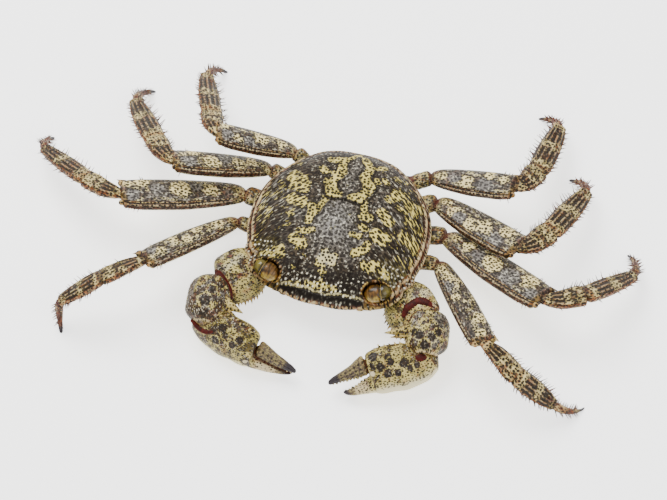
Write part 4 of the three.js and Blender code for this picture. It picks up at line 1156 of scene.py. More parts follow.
def leg_limbs(leg_name, side_name):
    """The frames of one leg: base, merus, carpus, propodus and dactyl."""
    leg, side = LEGS[leg_name], SIDES[side_name]
    pose = leg[side_name]
    joints = [on_side(leg["hip"][side_name], side)]
    for i in range(3):
        joints.append(far_end(joints[i], leg["lengths"][i], pose["turn"][i], pose["rise"][i], side))
    drop = math.degrees(math.asin((joints[3][2] + FOOT_SINK) / leg["lengths"][3]))
    joints.append(far_end(joints[3], leg["lengths"][3], pose["turn"][3], -drop, side))
    deep = leg["depth"] / 2
    halves = [w / 2 for w in leg["widths"]]
    root = on_side(leg["root"], side)
    limbs = {"base": Limb(root, joints[0], pose["roll"][0], side, HIP_ROWS, halves[0] * 0.72, deep * 1.35)}
    rows = {"merus": MERUS_ROWS, "carpus": CARPUS_ROWS, "propodus": PROPODUS_ROWS, "dactyl": DACTYL_ROWS}
    for i, part in enumerate(rows):
        limbs[part] = Limb(joints[i], joints[i + 1], pose["roll"][i], side, rows[part], halves[i], deep,
                           leg["bulge"])
    return limbs


def merus_look(leg_name, side_name, limb):
    """Relief and marks of a merus: patches, speckles, a beaded leading edge and fine ridges."""
    leg = LEGS[leg_name]
    seed = 40 + 7 * int(leg_name[-1]) + (SIDES[side_name] > 0)
    lead_sign = leg["bulge"]
    strong = 1.0 if lead_sign > 0 else 0.6

    def relief(share, turn, spots):
        lead = np.cos(turn) * lead_sign
        top = smoothstep(-0.1, 0.3, np.sin(turn))
        ridge = bump(lead - 0.93, 0.07) * 0.14 - bump(lead - 0.84, 0.07) * 0.14 + bump(lead - 0.76, 0.05) * 0.1
        comb = 0.5 + 0.5 * np.cos(2 * math.pi * (share * limb.length + 0.8 * lead + 0.3 * drift(spots, 2, seed)) / 0.95)
        fine = 0.05 * comb * smoothstep(-0.2, 0.3, drift(spots, 1.7, seed + 1)) * (np.abs(lead) < 0.7)
        collar = 0.14 * bump(share - 0.975, 0.018) - 0.1 * bump(share - 0.945, 0.015)
        return ridge * smoothstep(0.05, 0.2, share) * top * strong + fine * top + collar

    def marks(form, share, turn):
        spots, half = form.skin, limb.half_width
        lead = np.cos(turn) * lead_sign
        top = smoothstep(-0.3, 0.1, np.sin(turn))
        wa = share * limb.length + 0.5 * drift(spots, 1.5, seed + 2) + 0.3 * drift(spots, 0.8, seed + 3)
        wl = lead * half + 0.5 * drift(spots, 1.5, seed + 4) + 0.3 * drift(spots, 0.8, seed + 5)
        streaks = drift(spots * (0.3, 1.0, 1.0), 0.75, seed + 10)
        cream = 0.4 + 0.26 * drift(spots, 1.6, seed + 6) + 0.26 * streaks
        grey = 0.25 + 0.3 * drift(spots, 2.4, seed + 11)
        for kind, at, across, radius in leg["patches"][side_name]:
            away = np.hypot(wa - at * limb.length, wl - across * half)
            spot = smoothstep(radius * 1.2 + 0.15, radius * 0.8, away)
            if kind == "cream":
                cream = np.maximum(cream, spot * 0.98)
                grey *= 1 - spot
            else:
                grey = np.maximum(grey, spot * 0.8)
                cream *= 1 - 0.75 * spot
        root = smoothstep(0.16, 0.03, share)
        dash = smoothstep(0.1, 0.45, drift(np.stack([wa, lead * 0, lead * 0], axis=1), 2.1, seed + 7))
        rise = smoothstep(0.08, 0.2, share) * top * strong
        outer, rope, seam, bead, under = (bump(lead - at, wide) * rise for at, wide in (
            (1.0, 0.035), (0.925, 0.06), (0.85, 0.045), (0.785, 0.045), (0.73, 0.04)))
        band_only = smoothstep(0.72, 0.76, lead) * rise
        twist = 0.55 + 0.45 * np.cos(2 * math.pi * share * limb.length / 0.9)
        rear = smoothstep(-0.78, -0.93, lead) * (1 - 0.6 * root)
        collar = smoothstep(0.95, 0.98, share)
        corner = collar * smoothstep(-0.2, 0.5, lead)
        cream = np.maximum(cream, 0.62 * root) * (1 - band_only) + (0.75 + 0.25 * twist) * rope + 0.8 * bead
        cream = cream * (1 - rear) + rear * 0.42
        form.marks["cream"] = np.clip(cream, 0, 1) * top + (1 - top) * 0.8
        form.marks["pale"] = np.clip(grey * top + 0.55 * rear, 0, 1) * (1 - band_only) + 0.82 * rope + (1 - top) * 0.9
        form.marks["dark"] = np.clip(0.22 + 0.5 * drift(spots, 2.2, seed + 9) + seam, 0, 0.9) * (1 - grey) * top * (1 - root)
        form.marks["warm"] = np.clip(0.3 * root * smoothstep(-0.2, 0.4, drift(spots, 1.2, seed + 12))
                                     + (0.72 - 0.32 * twist) * rope + 0.45 * bead + 0.55 * outer + 0.3 * collar
                                     + 0.3 * smoothstep(0.25, 0.6, drift(spots, 1.1, seed + 8)) * smoothstep(0.5, 0.1, share),
                                     0, 0.85)
        form.marks["olive"] = np.clip(0.75 * corner + 0.5 * root + 0.36 * rope, 0, 0.8)
        form.marks["line"] = np.clip((0.7 * outer + 0.85 * seam + 0.4 * under + 0.3 * rope * (1 - twist) * (1 - dash))
                                     * (0.85 + 0.3 * drift(spots, 1.5, seed)), 0, 0.85)
        form.marks["joint"] = 0.6 * smoothstep(0.07, 0.02, share) * smoothstep(-0.2, 0.4, drift(spots, 1.2, seed + 13))

    return relief, marks


def shin_look(leg_name, side_name, part, limb):
    """Relief and marks of a carpus or propodus: long ridges with dark lines between, and cross bands."""
    lead_sign = LEGS[leg_name]["bulge"]
    seed = 120 + 9 * int(leg_name[-1]) + 3 * (part == "propodus") + (SIDES[side_name] > 0)
    slide = 0.04 * math.sin(seed * 2.3)
    ridges = (-0.72, -0.3, 0.18, 0.62, 0.97) if part == "propodus" else (-0.6, -0.12, 0.36, 0.78, 1.0)

    def crests(lead, share):
        bend = 0.05 * np.sin(share * 3)
        return np.max([bump(lead - at - bend, 0.15) for at in ridges], axis=0)

    def relief(share, turn, spots):
        lead = np.cos(turn) * lead_sign
        top = smoothstep(-0.1, 0.3, np.sin(turn))
        ends = smoothstep(0.03, 0.15, share) * smoothstep(1.0, 0.93, share)
        long = (crests(lead, share) - 0.45) * 0.24 * top * ends
        collar = 0.16 * bump(share - 0.965, 0.025) - 0.12 * bump(share - 0.92, 0.02)
        return long + collar + 0.04 * drift(spots, 0.7, seed)

    def marks(form, share, turn):
        spots = form.skin
        lead = np.cos(turn) * lead_sign
        top = smoothstep(-0.25, 0.15, np.sin(turn))
        at = share + 0.03 * drift(spots, 1.6, seed + 1) + 0.012 * drift(spots, 0.6, seed + 2) + slide
        crest = crests(lead, share)
        if part == "propodus":
            dark = np.maximum(smoothstep(0.12, 0.17, at) * smoothstep(0.44, 0.38, at),
                              smoothstep(0.55, 0.6, at) * smoothstep(0.88, 0.82, at))
        else:
            dark = np.maximum(smoothstep(0.16, 0.24, at) * smoothstep(0.5, 0.42, at), bump(at - 0.66, 0.07) * 0.8)
        blotch = drift(spots, 1.3, seed + 3) + 0.5 * drift(spots, 0.7, seed + 5)
        dark = np.clip(dark * (0.9 + 0.35 * blotch), 0, 1)
        cream = np.clip(0.74 + 0.3 * blotch - 0.62 * dark, 0, 1)
        gold = smoothstep(0.5, 0.85, crest) * dark * top
        edge = smoothstep(0.86, 0.97, np.abs(lead))
        ends = bump(share - 0.02, 0.05) + smoothstep(0.94, 0.985, share)
        cream = np.maximum(cream * (1 - 0.3 * edge), 0.9 * gold)
        form.marks["cream"] = np.clip(cream * top + (1 - top) * 0.75, 0, 1)
        form.marks["pale"] = np.clip(0.8 * gold + (1 - top) * 0.8, 0, 1)
        form.marks["dark"] = np.clip(dark * 0.55 * (1 - crest) + 0.1, 0, 1) * top
        form.marks["warm"] = np.clip(0.5 * edge + 0.45 * ends + 0.5 * gold
                                     + 0.28 * smoothstep(0.1, 0.5, drift(spots, 1.6, seed + 4)) + 0.1, 0, 0.8)
        form.marks["olive"] = np.clip(0.45 * ends * smoothstep(-0.3, 0.4, blotch) + 0.3 * gold + 0.22, 0, 0.8)
        form.marks["line"] = np.clip(smoothstep(0.45, 0.1, crest) * top * smoothstep(0.05, 0.15, share)
                                     * (0.35 + 0.5 * dark) + bump(share - 0.93, 0.012) * 0.4, 0, 0.85)
        form.marks["joint"] = 0.4 * ends * smoothstep(0.1, 0.5, drift(spots, 0.9, seed + 6))

    return relief, marks


def joint_marks(form, neighbours, reach=0.9, strength=0.5, sink=0.0):
    """Rust and shadow where a form meets its neighbours."""
    for tree in neighbours:
        near, inside = distance_to(tree, form.spots, reach)
        touch = np.where(inside, 1.0, bump(near, reach))
        form.marks["warm"] = np.maximum(form.marks["warm"], touch * strength)
        form.marks["line"] = np.maximum(form.marks["line"], np.where(inside, 0.7, bump(near, reach * 0.35) * 0.6))
    return form


class CRAB_OT_legs(bpy.types.Operator):
    """Build the eight walking legs, five segments each"""

    bl_idname = "crab.legs"
    bl_label = "Walking legs"

    def execute(self, context):
        fine = 1.6
        for leg_name, leg in LEGS.items():
            for side_name in SIDES:
                limbs = leg_limbs(leg_name, side_name)
                forms = {}

                def knobs(share, turn, spots):
                    return 0.14 * drift(spots, 1.6, 3) + 0.05 * drift(spots, 0.7, 4)

                hip, share, turn = limbs["base"].form(40, 60, knobs, cap=(0.08, 0.12))
                spots = hip.skin
                blotch = drift(spots, 1.5, 5) + 0.4 * drift(spots, 0.7, 6)
                knob = smoothstep(0.34, 0.26, share)
                hip.marks["cream"] = np.clip(0.6 + 0.34 * blotch, 0, 1)
                hip.marks["pale"] = 0.25 * knob * smoothstep(0.2, 0.6, np.sin(turn) + 0.4 * blotch)
                hip.marks["olive"] = np.clip(0.62 * (1 - 0.4 * knob) * (0.85 + 0.4 * blotch), 0, 0.85)
                hip.marks["warm"] = np.clip((0.55 * smoothstep(-0.1, 0.5, drift(spots, 1.3, 8))
                                             + 0.5 * bump(share - 0.47, 0.09)) * (1 - 0.7 * knob), 0, 0.85)
                hip.marks["joint"] = np.clip(0.85 * bump(share - 0.47, 0.1) * smoothstep(-0.6, 0.1, drift(spots, 1.3, 7))
                                             + 0.6 * smoothstep(0.86, 0.97, share), 0, 0.9)
                hip.marks["dots"] = 0.35 * smoothstep(0.16, 0.08, grains(hip.skin, 1.1, 9)) * (1 - knob)
                ribs = np.cos(turn * 5 + 0.8 * drift(spots, 2.0, 14))
                hip.marks["line"] = np.clip(0.75 * bump(share - 0.4, 0.05) + 0.5 * smoothstep(0.2, 0.6, drift(spots, 0.8, 10))
                                            + 0.45 * smoothstep(0.75, 0.95, ribs) * (1 - knob), 0, 0.9)
                forms["base"] = hip
                for part in ("merus", "carpus", "propodus"):
                    limb = limbs[part]
                    look = merus_look(leg_name, side_name, limb) if part == "merus" else shin_look(
                        leg_name, side_name, part, limb)
                    across = int((56 if part == "merus" else 44) * fine)
                    steps = int(limb.length / 0.36 * fine)
                    cap = (0.06, 0.035) if part == "merus" else (0.06, 0.045)
                    reach = (-0.9 / limb.length, 0.35 / limb.length)
                    form, share, turn = limb.form(across, steps, look[0], cap=cap, reach=reach, flat=0.8)
                    look[1](form, share, turn)
                    forms[part] = form
                limb = limbs["dactyl"]
                foot, share, turn = limb.form(int(24 * fine), int(40 * fine),
                                              lambda s, t, p: 0.06 * drift(p, 0.8, 9) + 0.06 * bump(np.cos(t), 0.3),
                                              cap=(0.08, 0.05), reach=(-0.8 / limb.length, 0.0), flat=0.9)
                blotch = drift(foot.spots, 1.0, 11)
                foot.marks["cream"] = 0.56 + 0.4 * drift(foot.spots, 1.2, 10)
                foot.marks["warm"] = np.clip(0.7 + 0.35 * blotch, 0, 0.9)
                foot.marks["joint"] = 0.7 * smoothstep(-0.2, 0.4, drift(foot.spots, 1.1, 12)) * (share < 0.8)
                foot.marks["line"] = 0.5 * smoothstep(0.15, 0.5, drift(foot.spots, 0.9, 13))
                foot.marks["horn"] = smoothstep(0.66, 0.84, share)
                foot.spots[:, 2] = np.maximum(foot.spots[:, 2], 0.0)
                forms["dactyl"] = foot
                # Spines at the merus's far corner.
                merus, half, sign = limbs["merus"], limbs["merus"].half_width, leg["bulge"]
                for at, out, length in ((0.955, 0.86, 2.3), (0.9, 0.9, 1.2), (0.85, 0.92, 0.8)):
                    root = merus.point(at, -sign * half * out, 0)
                    tip = merus.point(at + length / merus.length, -sign * (half * out + 0.35 * length), 0.1)
                    forms["merus"].join(cone_form(root, tip, 0.24 * length + 0.1, sides=10, cream=0.8, warm=0.6))
                for at, out, size in ((0.99, -0.72, 0.95), (1.005, 0.62, 0.8)):
                    forms["merus"].join(bead_form(merus.point(at, sign * half * out, 0.35), (size, size, size * 0.9), 3,
                                                  cream=0.7, warm=0.55, olive=0.45))
                trees = {part: form.tree() for part, form in forms.items()}
                order = list(forms)
                for i, part in enumerate(order):
                    near = [trees[order[k]] for k in (i - 1, i + 1) if 0 <= k < len(order)]
                    joint_marks(forms[part], near, 0.8, 0.5)
                for part, form in forms.items():
                    node = f"{leg_name}_{side_name}_{part}"
                    form.piece(f"{node}_shell", [material("mottled_leg")], "leg_shell", node)
        return {"FINISHED"}


# ---- Claws ----


def claw_limbs(side_name):
    claw, side = CLAWS[side_name], SIDES[side_name]
    roll = claw["palm roll"]
    return {
        "base": Limb(claw["root"], claw["shoulder"], 0, side, CLAW_BASE_ROWS),
        "merus": Limb(claw["shoulder"], claw["elbow"], MERUS_ROLL, side, CLAW_MERUS_ROWS),
        "carpus": Limb(claw["carpus start"], claw["wrist"], 0, -side, CLAW_CARPUS_ROWS),
        "palm": Limb(claw["palm start"], claw["knuckle"], roll, side, PALM_ROWS),
        "fixed": Limb(claw["knuckle"], claw["fixed tip"], roll, side, FIXED_ROWS),
        "finger": Limb(claw["pivot"], claw["finger tip"], roll, side, FINGER_ROWS),
    }


def palm_form(limbs, fine):
    """The palm and its fixed finger as one bent form. Returns the form, mm along it and the turn."""
    palm, fixed = limbs["palm"], limbs["fixed"]
    total = palm.length + fixed.length
    rows = [(s * palm.length / total, *rest) for s, *rest in PALM_ROWS]
    rows += [((palm.length + s * fixed.length) / total, *rest) for s, *rest in FIXED_ROWS]
    bm, unit, turn, t = ball(int(60 * fine), int(90 * fine))
    upper, lower, thick, lift = along_rows(rows, t)
    head, tail = np.clip(t / 0.05, 0, 1), np.clip((1 - t) / 0.025, 0, 1)
    shrink = np.sqrt(np.clip((2 - head) * head, 0, 1)) * np.sqrt(np.clip((2 - tail) * tail, 0, 1))
    cos, sin = np.cos(turn), np.sin(turn)
    out = np.sign(sin) * np.abs(sin) ** 0.9
    across = (upper - lower) / 2 + shrink * cos * (upper + lower) / 2
    rise = shrink * out * thick
    mm = t * total
    blend = smoothstep(palm.length - 4.0, palm.length + 3.0, mm)[:, None]
    first = palm.point(mm / palm.length, across, rise)
    second = fixed.point((mm - palm.length) / fixed.length, across, rise)
    skin = unrolled(mm + palm.start[0] * 7.3, turn, (upper + lower) / 2, thick)
    return Form(bm, first * (1 - blend) + second * blend, skin), mm, turn, total


def tooth_row(limb, spread, edge, count, size, **marks):
    """Blunt teeth along a finger's biting edge."""
    teeth = None
    for i in range(count):
        at = spread[0] + (spread[1] - spread[0]) * i / (count - 1)
        upper, lower, thick, _ = along_rows(limb.rows, np.array([at]))
        across = upper[0] if edge > 0 else -lower[0]
        big = size * (1 - 0.45 * at) * (1.25 if i % 3 == 1 else 0.9)
        tooth = bead_form(limb.point(at, across * 0.94, 0.25 * thick[0]), (big, big, big * 0.9), 2, **marks)
        teeth = tooth if teeth is None else teeth.join(tooth)
    return teeth


class CRAB_OT_claws(bpy.types.Operator):
    """Build the two claws: base, merus, carpus, palm with its fixed finger, and movable finger"""

    bl_idname = "crab.claws"
    bl_label = "Claws"

    def execute(self, context):
        fine = 1.5
        for side_name, side in SIDES.items():
            claw, limbs = CLAWS[side_name], claw_limbs(side_name)
            seed = 200 + side
            forms = {}

            def knobs(height, spacing):
                return lambda s, t, p: (height * bump(grains(p, spacing, seed), 0.5)
                                        * smoothstep(-0.4, 0.3, np.sin(t)) + 0.12 * drift(p, 2.4, seed + 1))

            base, share, turn = limbs["base"].form(36, 30, knobs(0.05, 1.0), cap=(0.2, 0.2))
            base.marks["cream"] = 0.6 + 0.3 * drift(base.spots, 1.5, seed)
            base.marks["olive"] += 0.7
            forms["base"] = base

            merus, share, turn = limbs["merus"].form(int(64 * fine), int(52 * fine), knobs(0.1, 1.0), cap=(0.15, 0.1),
                                                     reach=(0, 0.02), flat=0.85)
            spots = merus.skin
            blotch = drift(spots, 1.8, seed + 2) + 0.5 * drift(spots, 0.9, seed + 3)
            inner = smoothstep(0.1, 0.8, np.cos(turn)) * smoothstep(0.95, 0.7, share)
            merus.marks["cream"] = np.clip(0.62 + 0.36 * blotch + 0.12 * inner, 0, 1)
            merus.marks["pale"] = 0.6 * smoothstep(0.05, 0.45, drift(spots, 1.6, seed + 20))
            merus.marks["olive"] = np.clip(0.55 * inner + 0.5 * smoothstep(0.55, 0.15, share), 0, 0.8)
            merus.marks["warm"] = np.clip(0.5 * smoothstep(0.2, 0.6, drift(spots, 1.5, seed + 4)), 0, 0.7)
            merus.marks["dark"] = 0.4 * smoothstep(0.0, 0.5, -blotch)
            for i in range(12):
                at = 0.16 + 0.78 * i / 11
                upper = along_rows(CLAW_MERUS_ROWS, np.array([at]))[0][0]
                root = limbs["merus"].point(at, upper - 0.5, 0.2)
                tip = limbs["merus"].point(at + 0.03, upper + 0.6 + 0.5 * (i % 2), 0.3)
                merus.join(cone_form(root, tip, 0.5, 0.05, 8, cream=0.9, warm=0.45))
            forms["merus"] = merus

            carpus, share, turn = limbs["carpus"].form(int(80 * fine), int(64 * fine), knobs(0.13, 1.05),
                                                       cap=(0.22, 0.2), flat=0.95)
            spots = carpus.skin
            top = smoothstep(-0.5, 0.1, np.sin(turn))
            blotch = drift(spots, 1.9, seed + 5) + 0.6 * drift(spots, 0.9, seed + 6)
            carpus.marks["cream"] = np.clip(((0.42 if side > 0 else 0.36) + 0.44 * blotch) * top + 0.8 * (1 - top), 0, 1)
            carpus.marks["pale"] = np.clip(0.45 * smoothstep(-0.1, 0.4, drift(spots, 3, seed + 7)) * (blotch < 0.2), 0, 1)
            carpus.marks["dark"] = 0.45 * smoothstep(0.1, 0.5, drift(spots, 1.8, seed + 8)) * top
            carpus.marks["warm"] = 0.3 * smoothstep(0.2, 0.6, drift(spots, 1.2, seed + 18))
            hem = bump(share - 0.935, 0.022) * smoothstep(-0.6, -0.1, np.sin(turn))
            carpus.spots = carpus.spots + carpus.normals() * (0.28 * hem)[:, None]
            carpus.marks["line"] = 0.7 * bump(share - 0.87, 0.022) * top + 0.4 * bump(share - 0.985, 0.02)
            for label, level in (("cream", 1.0), ("pale", 0.85), ("warm", 0.5)):
                carpus.marks[label] = carpus.marks[label] * (1 - hem) + level * hem
            carpus.marks["dark"] *= 1 - hem
            lobe_share, lobe_reach = claw["lobe"]
            for k, (along, reach, radius) in enumerate(((0.0, 0.0, 2.1), (0.08, 1.7, 1.2), (-0.1, 2.6, 1.0))):
                root = limbs["carpus"].point(0.5 + along, -2.8, 1.0)
                tip = limbs["carpus"].point(lobe_share + along, lobe_reach + reach, 0.6)
                carpus.join(cone_form(root, tip, radius, 0.12, 20, cream=0.75, warm=0.3 if k else 0.15))
            forms["carpus"] = carpus

            palm, mm, turn, total = palm_form(limbs, fine)
            spots = palm.spots
            finger_part = smoothstep(limbs["palm"].length + 0.5, limbs["palm"].length + 2.5, mm)
            across = np.cos(turn)
            low = smoothstep(0.0, -0.5, across * 0.8 + 0.45 * np.sin(turn) + 0.12 * drift(palm.skin, 1.5, seed + 16)
                             - (0.12 if side > 0 else 0.0))
            relief = (0.12 * bump(grains(palm.skin, 1.0, seed + 9), 0.5) * (1 - low) * (1 - finger_part)
                      * smoothstep(-0.1, 0.5, across) + 0.1 * drift(spots, 2.8, seed + 10))
            palm.spots = spots + palm.normals() * relief[:, None]
            spots = palm.skin
            blotch = drift(spots, 2.2, seed + 11) + 0.5 * drift(spots, 1.0, seed + 12)
            cream = 0.58 + 0.32 * blotch if side > 0 else 0.42 + 0.42 * blotch
            palm.marks["cream"] = np.clip(cream, 0, 1) * (1 - low) + 0.97 * low
            palm.marks["pale"] = np.clip(low, 0, 1)
            palm.marks["dark"] = (0.3 if side > 0 else 0.7) * smoothstep(0.1, 0.6, drift(spots, 2.0, seed + 13)) * (1 - low)
            palm.marks["olive"] = 0.4 * smoothstep(-0.2, 0.5, drift(spots, 2.4, seed + 19)) * (1 - low) * (1 - finger_part)
            along_finger = np.clip((mm - limbs["palm"].length) / limbs["fixed"].length, 0, 1)
            palm.marks["horn"] = 0.95 * smoothstep(0.5, 0.95, along_finger)
            palm.marks["cream"] = np.maximum(palm.marks["cream"], 0.9 * finger_part)
            palm.marks["pale"] = np.maximum(palm.marks["pale"], 0.72 * finger_part)
            palm.marks["warm"] = 0.32 * finger_part * (1 - low) + 0.25 * smoothstep(0.3, 0.6, drift(spots, 1.2, seed + 17)) * (1 - low)
            forms["palm"] = palm

            finger, share, turn = limbs["finger"].form(int(48 * fine), int(60 * fine),
                                                       lambda s, t, p: 0.05 * drift(p, 1.0, seed + 14)
                                                       - 0.1 * bump(np.cos(t) - 0.45, 0.12) * (s > 0.15)
                                                       - 0.08 * bump(np.cos(t) + 0.35, 0.12) * (s > 0.15),
                                                       cap=(0.12, 0.05), flat=1.0)
            mm, across = share * limbs["finger"].length, np.cos(turn)
            finger.marks["horn"] = 0.52 + 0.48 * smoothstep(0.55, 0.86, share) - 0.3 * smoothstep(0.3, 0.1, share)
            finger.marks["cream"] = 0.6 + 0.3 * drift(finger.spots, 1.0, seed + 15)
            finger.marks["warm"] = 0.3 * smoothstep(0.5, 0.1, share) + 0.4 * smoothstep(-0.5, -0.8, across) * (share < 0.8)
            beads = smoothstep(-0.1, 0.5, np.cos(2 * math.pi * mm / 1.3)) * smoothstep(0.95, 0.8, share)
            rows = bump(across - 0.5, 0.2) + bump(across + 0.02, 0.2) + bump(across + 0.5, 0.2)
            finger.marks["line"] = np.clip(0.95 * rows * beads + 0.2 * rows, 0, 0.9)
            finger.join(tooth_row(limbs["finger"], (0.28, 0.9), -1, 9, 0.5, cream=1.0, pale=0.5, warm=0.25))
            forms["finger"] = finger
            forms["palm"].join(tooth_row(limbs["fixed"], (0.2, 0.9), 1, 7, 0.5, cream=1.0, pale=0.5, warm=0.25))

            for part in ("carpus", "palm"):
                form = forms[part]
                for x, y, z, radius in CLAW_SPOTS[side_name]:
                    away = np.linalg.norm(form.spots - (x, y, z), axis=1) + 0.08 * drift(form.spots, 0.9, 77)
                    spot = smoothstep(radius * 1.25, radius * 0.95, away)
                    halo = bump(away - radius * 1.65, radius * 0.6)
                    form.marks["cream"] = np.maximum(form.marks["cream"], 0.72 * halo) * (1 - 0.72 * spot)
                    form.marks["pale"] *= 1 - spot
                    form.marks["dark"] = np.maximum(form.marks["dark"] * (1 - spot), (0.6 if side > 0 else 0.4) * spot)
                    form.marks["olive"] *= 1 - spot
                    form.marks["warm"] *= 1 - spot
                    form.marks["line"] = np.maximum(form.marks["line"], spot * (0.2 + 0.6 * bump(away - radius * 0.9, 0.5)))

            trees = {part: form.tree() for part, form in forms.items()}
            # Red membranes: a sunken seam on the far piece, a pale rust lip on the near one.
            for part, other, width, deep in (("carpus", "merus", 1.15, 1.0), ("palm", "carpus", 0.35, 0.6),
                                             ("palm", "finger", 0.5, 0.8), ("finger", "palm", 0.35, 0.7)):
                form = forms[part]
                near, inside = distance_to(trees[other], form.spots, 3.0)
                seam = smoothstep(width, width * 0.75, near)
                form.marks["joint"] = np.maximum(form.marks["joint"], seam * 0.95 * deep)
                form.marks["line"] = np.maximum(form.marks["line"], 0.5 * bump(near - width * 1.05, 0.25))
                form.spots = form.spots - form.normals() * (0.3 * smoothstep(width * 1.2, width * 0.5, near))[:, None]
            for part, other in (("merus", "carpus"), ("carpus", "palm"), ("merus", "base")):
                form = forms[part]
                near, inside = distance_to(trees[other], form.spots, 2.0)
                lip = np.where(inside, 0.0, bump(near, 0.9))
                form.marks["warm"] = np.maximum(form.marks["warm"], lip * 0.4)
                form.marks["cream"] = np.maximum(form.marks["cream"], lip * 0.8)
            for i in range(10):
                at = 0.14 + 0.075 * i
                upper, _, thick, _ = along_rows(PALM_ROWS, np.array([at]))
                root = limbs["palm"].point(at, upper[0] - 0.6, 0.25 * thick[0] * (i % 2))
                tip = limbs["palm"].point(at + 0.02, upper[0] + 0.45 + 0.2 * (i % 3), 0.3 * thick[0] * (i % 2))
                forms["palm"].join(cone_form(root, tip, 0.55, 0.1, 8, cream=0.95, warm=0.2))
            for x, y, z, radius in KNUCKLES[side_name]:
                forms["palm"].join(bead_form((x, y, z), (radius,) * 3, 3, cream=1.0, pale=0.9, warm=0.15))
            for part, form in forms.items():
                node = f"cheliped_{side_name}_{part}"
                form.piece(f"{node}_shell", [material("mottled_claw")], "claw_shell", node)
            for name, (radius, *places) in MEMBRANES[side_name].items():
                folds, count = None, 3 * len(places)
                track = [(i / (len(places) - 1), *place) for i, place in enumerate(places)]
                course = np.stack(along_rows(track, np.linspace(0, 1, count + 1)), axis=1) - (0, 0, 0.2)
                for i, (a, b) in enumerate(zip(course, course[1:])):
                    swell = radius * (1.1 - 0.55 * abs(2 * (i + 0.5) / count - 1) ** 2)
                    fold = Limb(a, b, 0, side, ((0, 1, 1, 0.6, -0.2), (1, 1, 1, 0.6, -0.2)), swell, swell)
                    form, _, _ = fold.form(18, 10, cap=(0.4, 0.4), reach=(-0.9, 0.9))
                    folds = form if folds is None else folds.join(form)
                folds.piece(f"cheliped_{side_name}_{name}_membrane", [material("joint_membrane")], "claw_shell")
        return {"FINISHED"}


# ---- Belly, mouth and feelers ----


class CRAB_OT_underside(bpy.types.Operator):
    """Build the belly plates, tail flap, mouth covers and feelers"""

    bl_idname = "crab.underside"
    bl_label = "Underside and mouth"

    def execute(self, context):
        belly = Limb(*STERNUM, 0, 1, STERNUM_ROWS)

        def seams(share, turn, spots):
            bays = np.abs(((share * 5 + 0.25 * np.abs(np.cos(turn))) % 1) - 0.5)
            return -0.45 * bump(bays, 0.08) * (np.abs(np.cos(turn)) > 0.3) + 0.08 * drift(spots, 2, 301)

        plate, share, turn = belly.form(96, 90, seams, cap=(0.05, 0.05))
        plate.piece("sternum_plates", [material("belly_plate")], "underside_shell", "sternum")
        tail = Limb(*ABDOMEN, 0, 1, ABDOMEN_ROWS)

        def rings(share, turn, spots):
            return -0.2 * bump(((share * 6.5) % 1) - 0.5, 0.07) + 0.05 * drift(spots, 1.5, 302)

        flap, share, turn = tail.form(64, 110, rings, cap=(0.04, 0.04))
        flap.piece("abdomen_flap", [material("belly_plate")], "underside_shell", "abdomen")
        for name, side in SIDES.items():
            jaw = Limb(*(on_side(v, side) for v in JAW), 0, side, JAW_ROWS)

            def plates(share, turn, spots):
                return -0.22 * bump(share - 0.55, 0.035) - 0.12 * bump(np.cos(turn), 0.12) + 0.05 * drift(spots, 1, 303)

            cover, share, turn = jaw.form(40, 50, plates, cap=(0.1, 0.1), flat=0.7)
            # The small palp folded over the cover's end, with its brush of hairs.
            palp = [jaw.point(0.93, 1.4, -0.9), jaw.point(1.02, 0.2, -1.25), jaw.point(0.86, -0.9, -1.35),
                    jaw.point(0.66, -1.0, -1.2)]
            for a, b, thick in zip(palp, palp[1:], (0.62, 0.52, 0.4)):
                link = Limb(a, b, 0, side, ((0, 1, 1, 1, 0), (0.5, 1.1, 1.1, 1.1, 0), (1, 0.8, 0.8, 0.8, 0)),
                            thick, thick)
                part, _, _ = link.form(14, 12, cap=(0.3, 0.3))
                cover.join(part)
            for i in range(16):
                root = jaw.point(0.2 + 0.045 * i, -2.45, -0.2)
                tip = jaw.point(0.24 + 0.045 * i, -3.05, -0.5)
                cover.join(cone_form(root, tip, 0.07, 0.02, 4, warm=0.8))
            cover.marks["cream"][:] = 0.85
            cover.marks["pale"][:] = 0.7
            cover.marks["warm"] = np.maximum(cover.marks["warm"], 0.25 + 0.2 * drift(cover.spots, 1.4, 304))
            cover.piece(f"mouth_cover_{name}", [material("mottled_claw")], "underside_shell", f"maxilliped_{name}")
            whip = Limb(*(on_side(v, side) for v in FEELER), 0, side, FEELER_ROWS)
            joints = lambda share, turn, spots: -0.06 * bump(((share * 22) % 1) - 0.5, 0.2) * (share > 0.45)
            feeler, share, turn = whip.form(16, 90, joints, cap=(0.1, 0.03), flat=1.0)
            feeler.marks["cream"][:] = 0.75
            feeler.marks["warm"] = 0.45 + 0.3 * np.sin(share * 90)
            feeler.piece(f"feeler_{name}", [material("mottled_leg")], "leg_shell", f"antenna_{name}")
        return {"FINISHED"}


# ---- Bristles ----


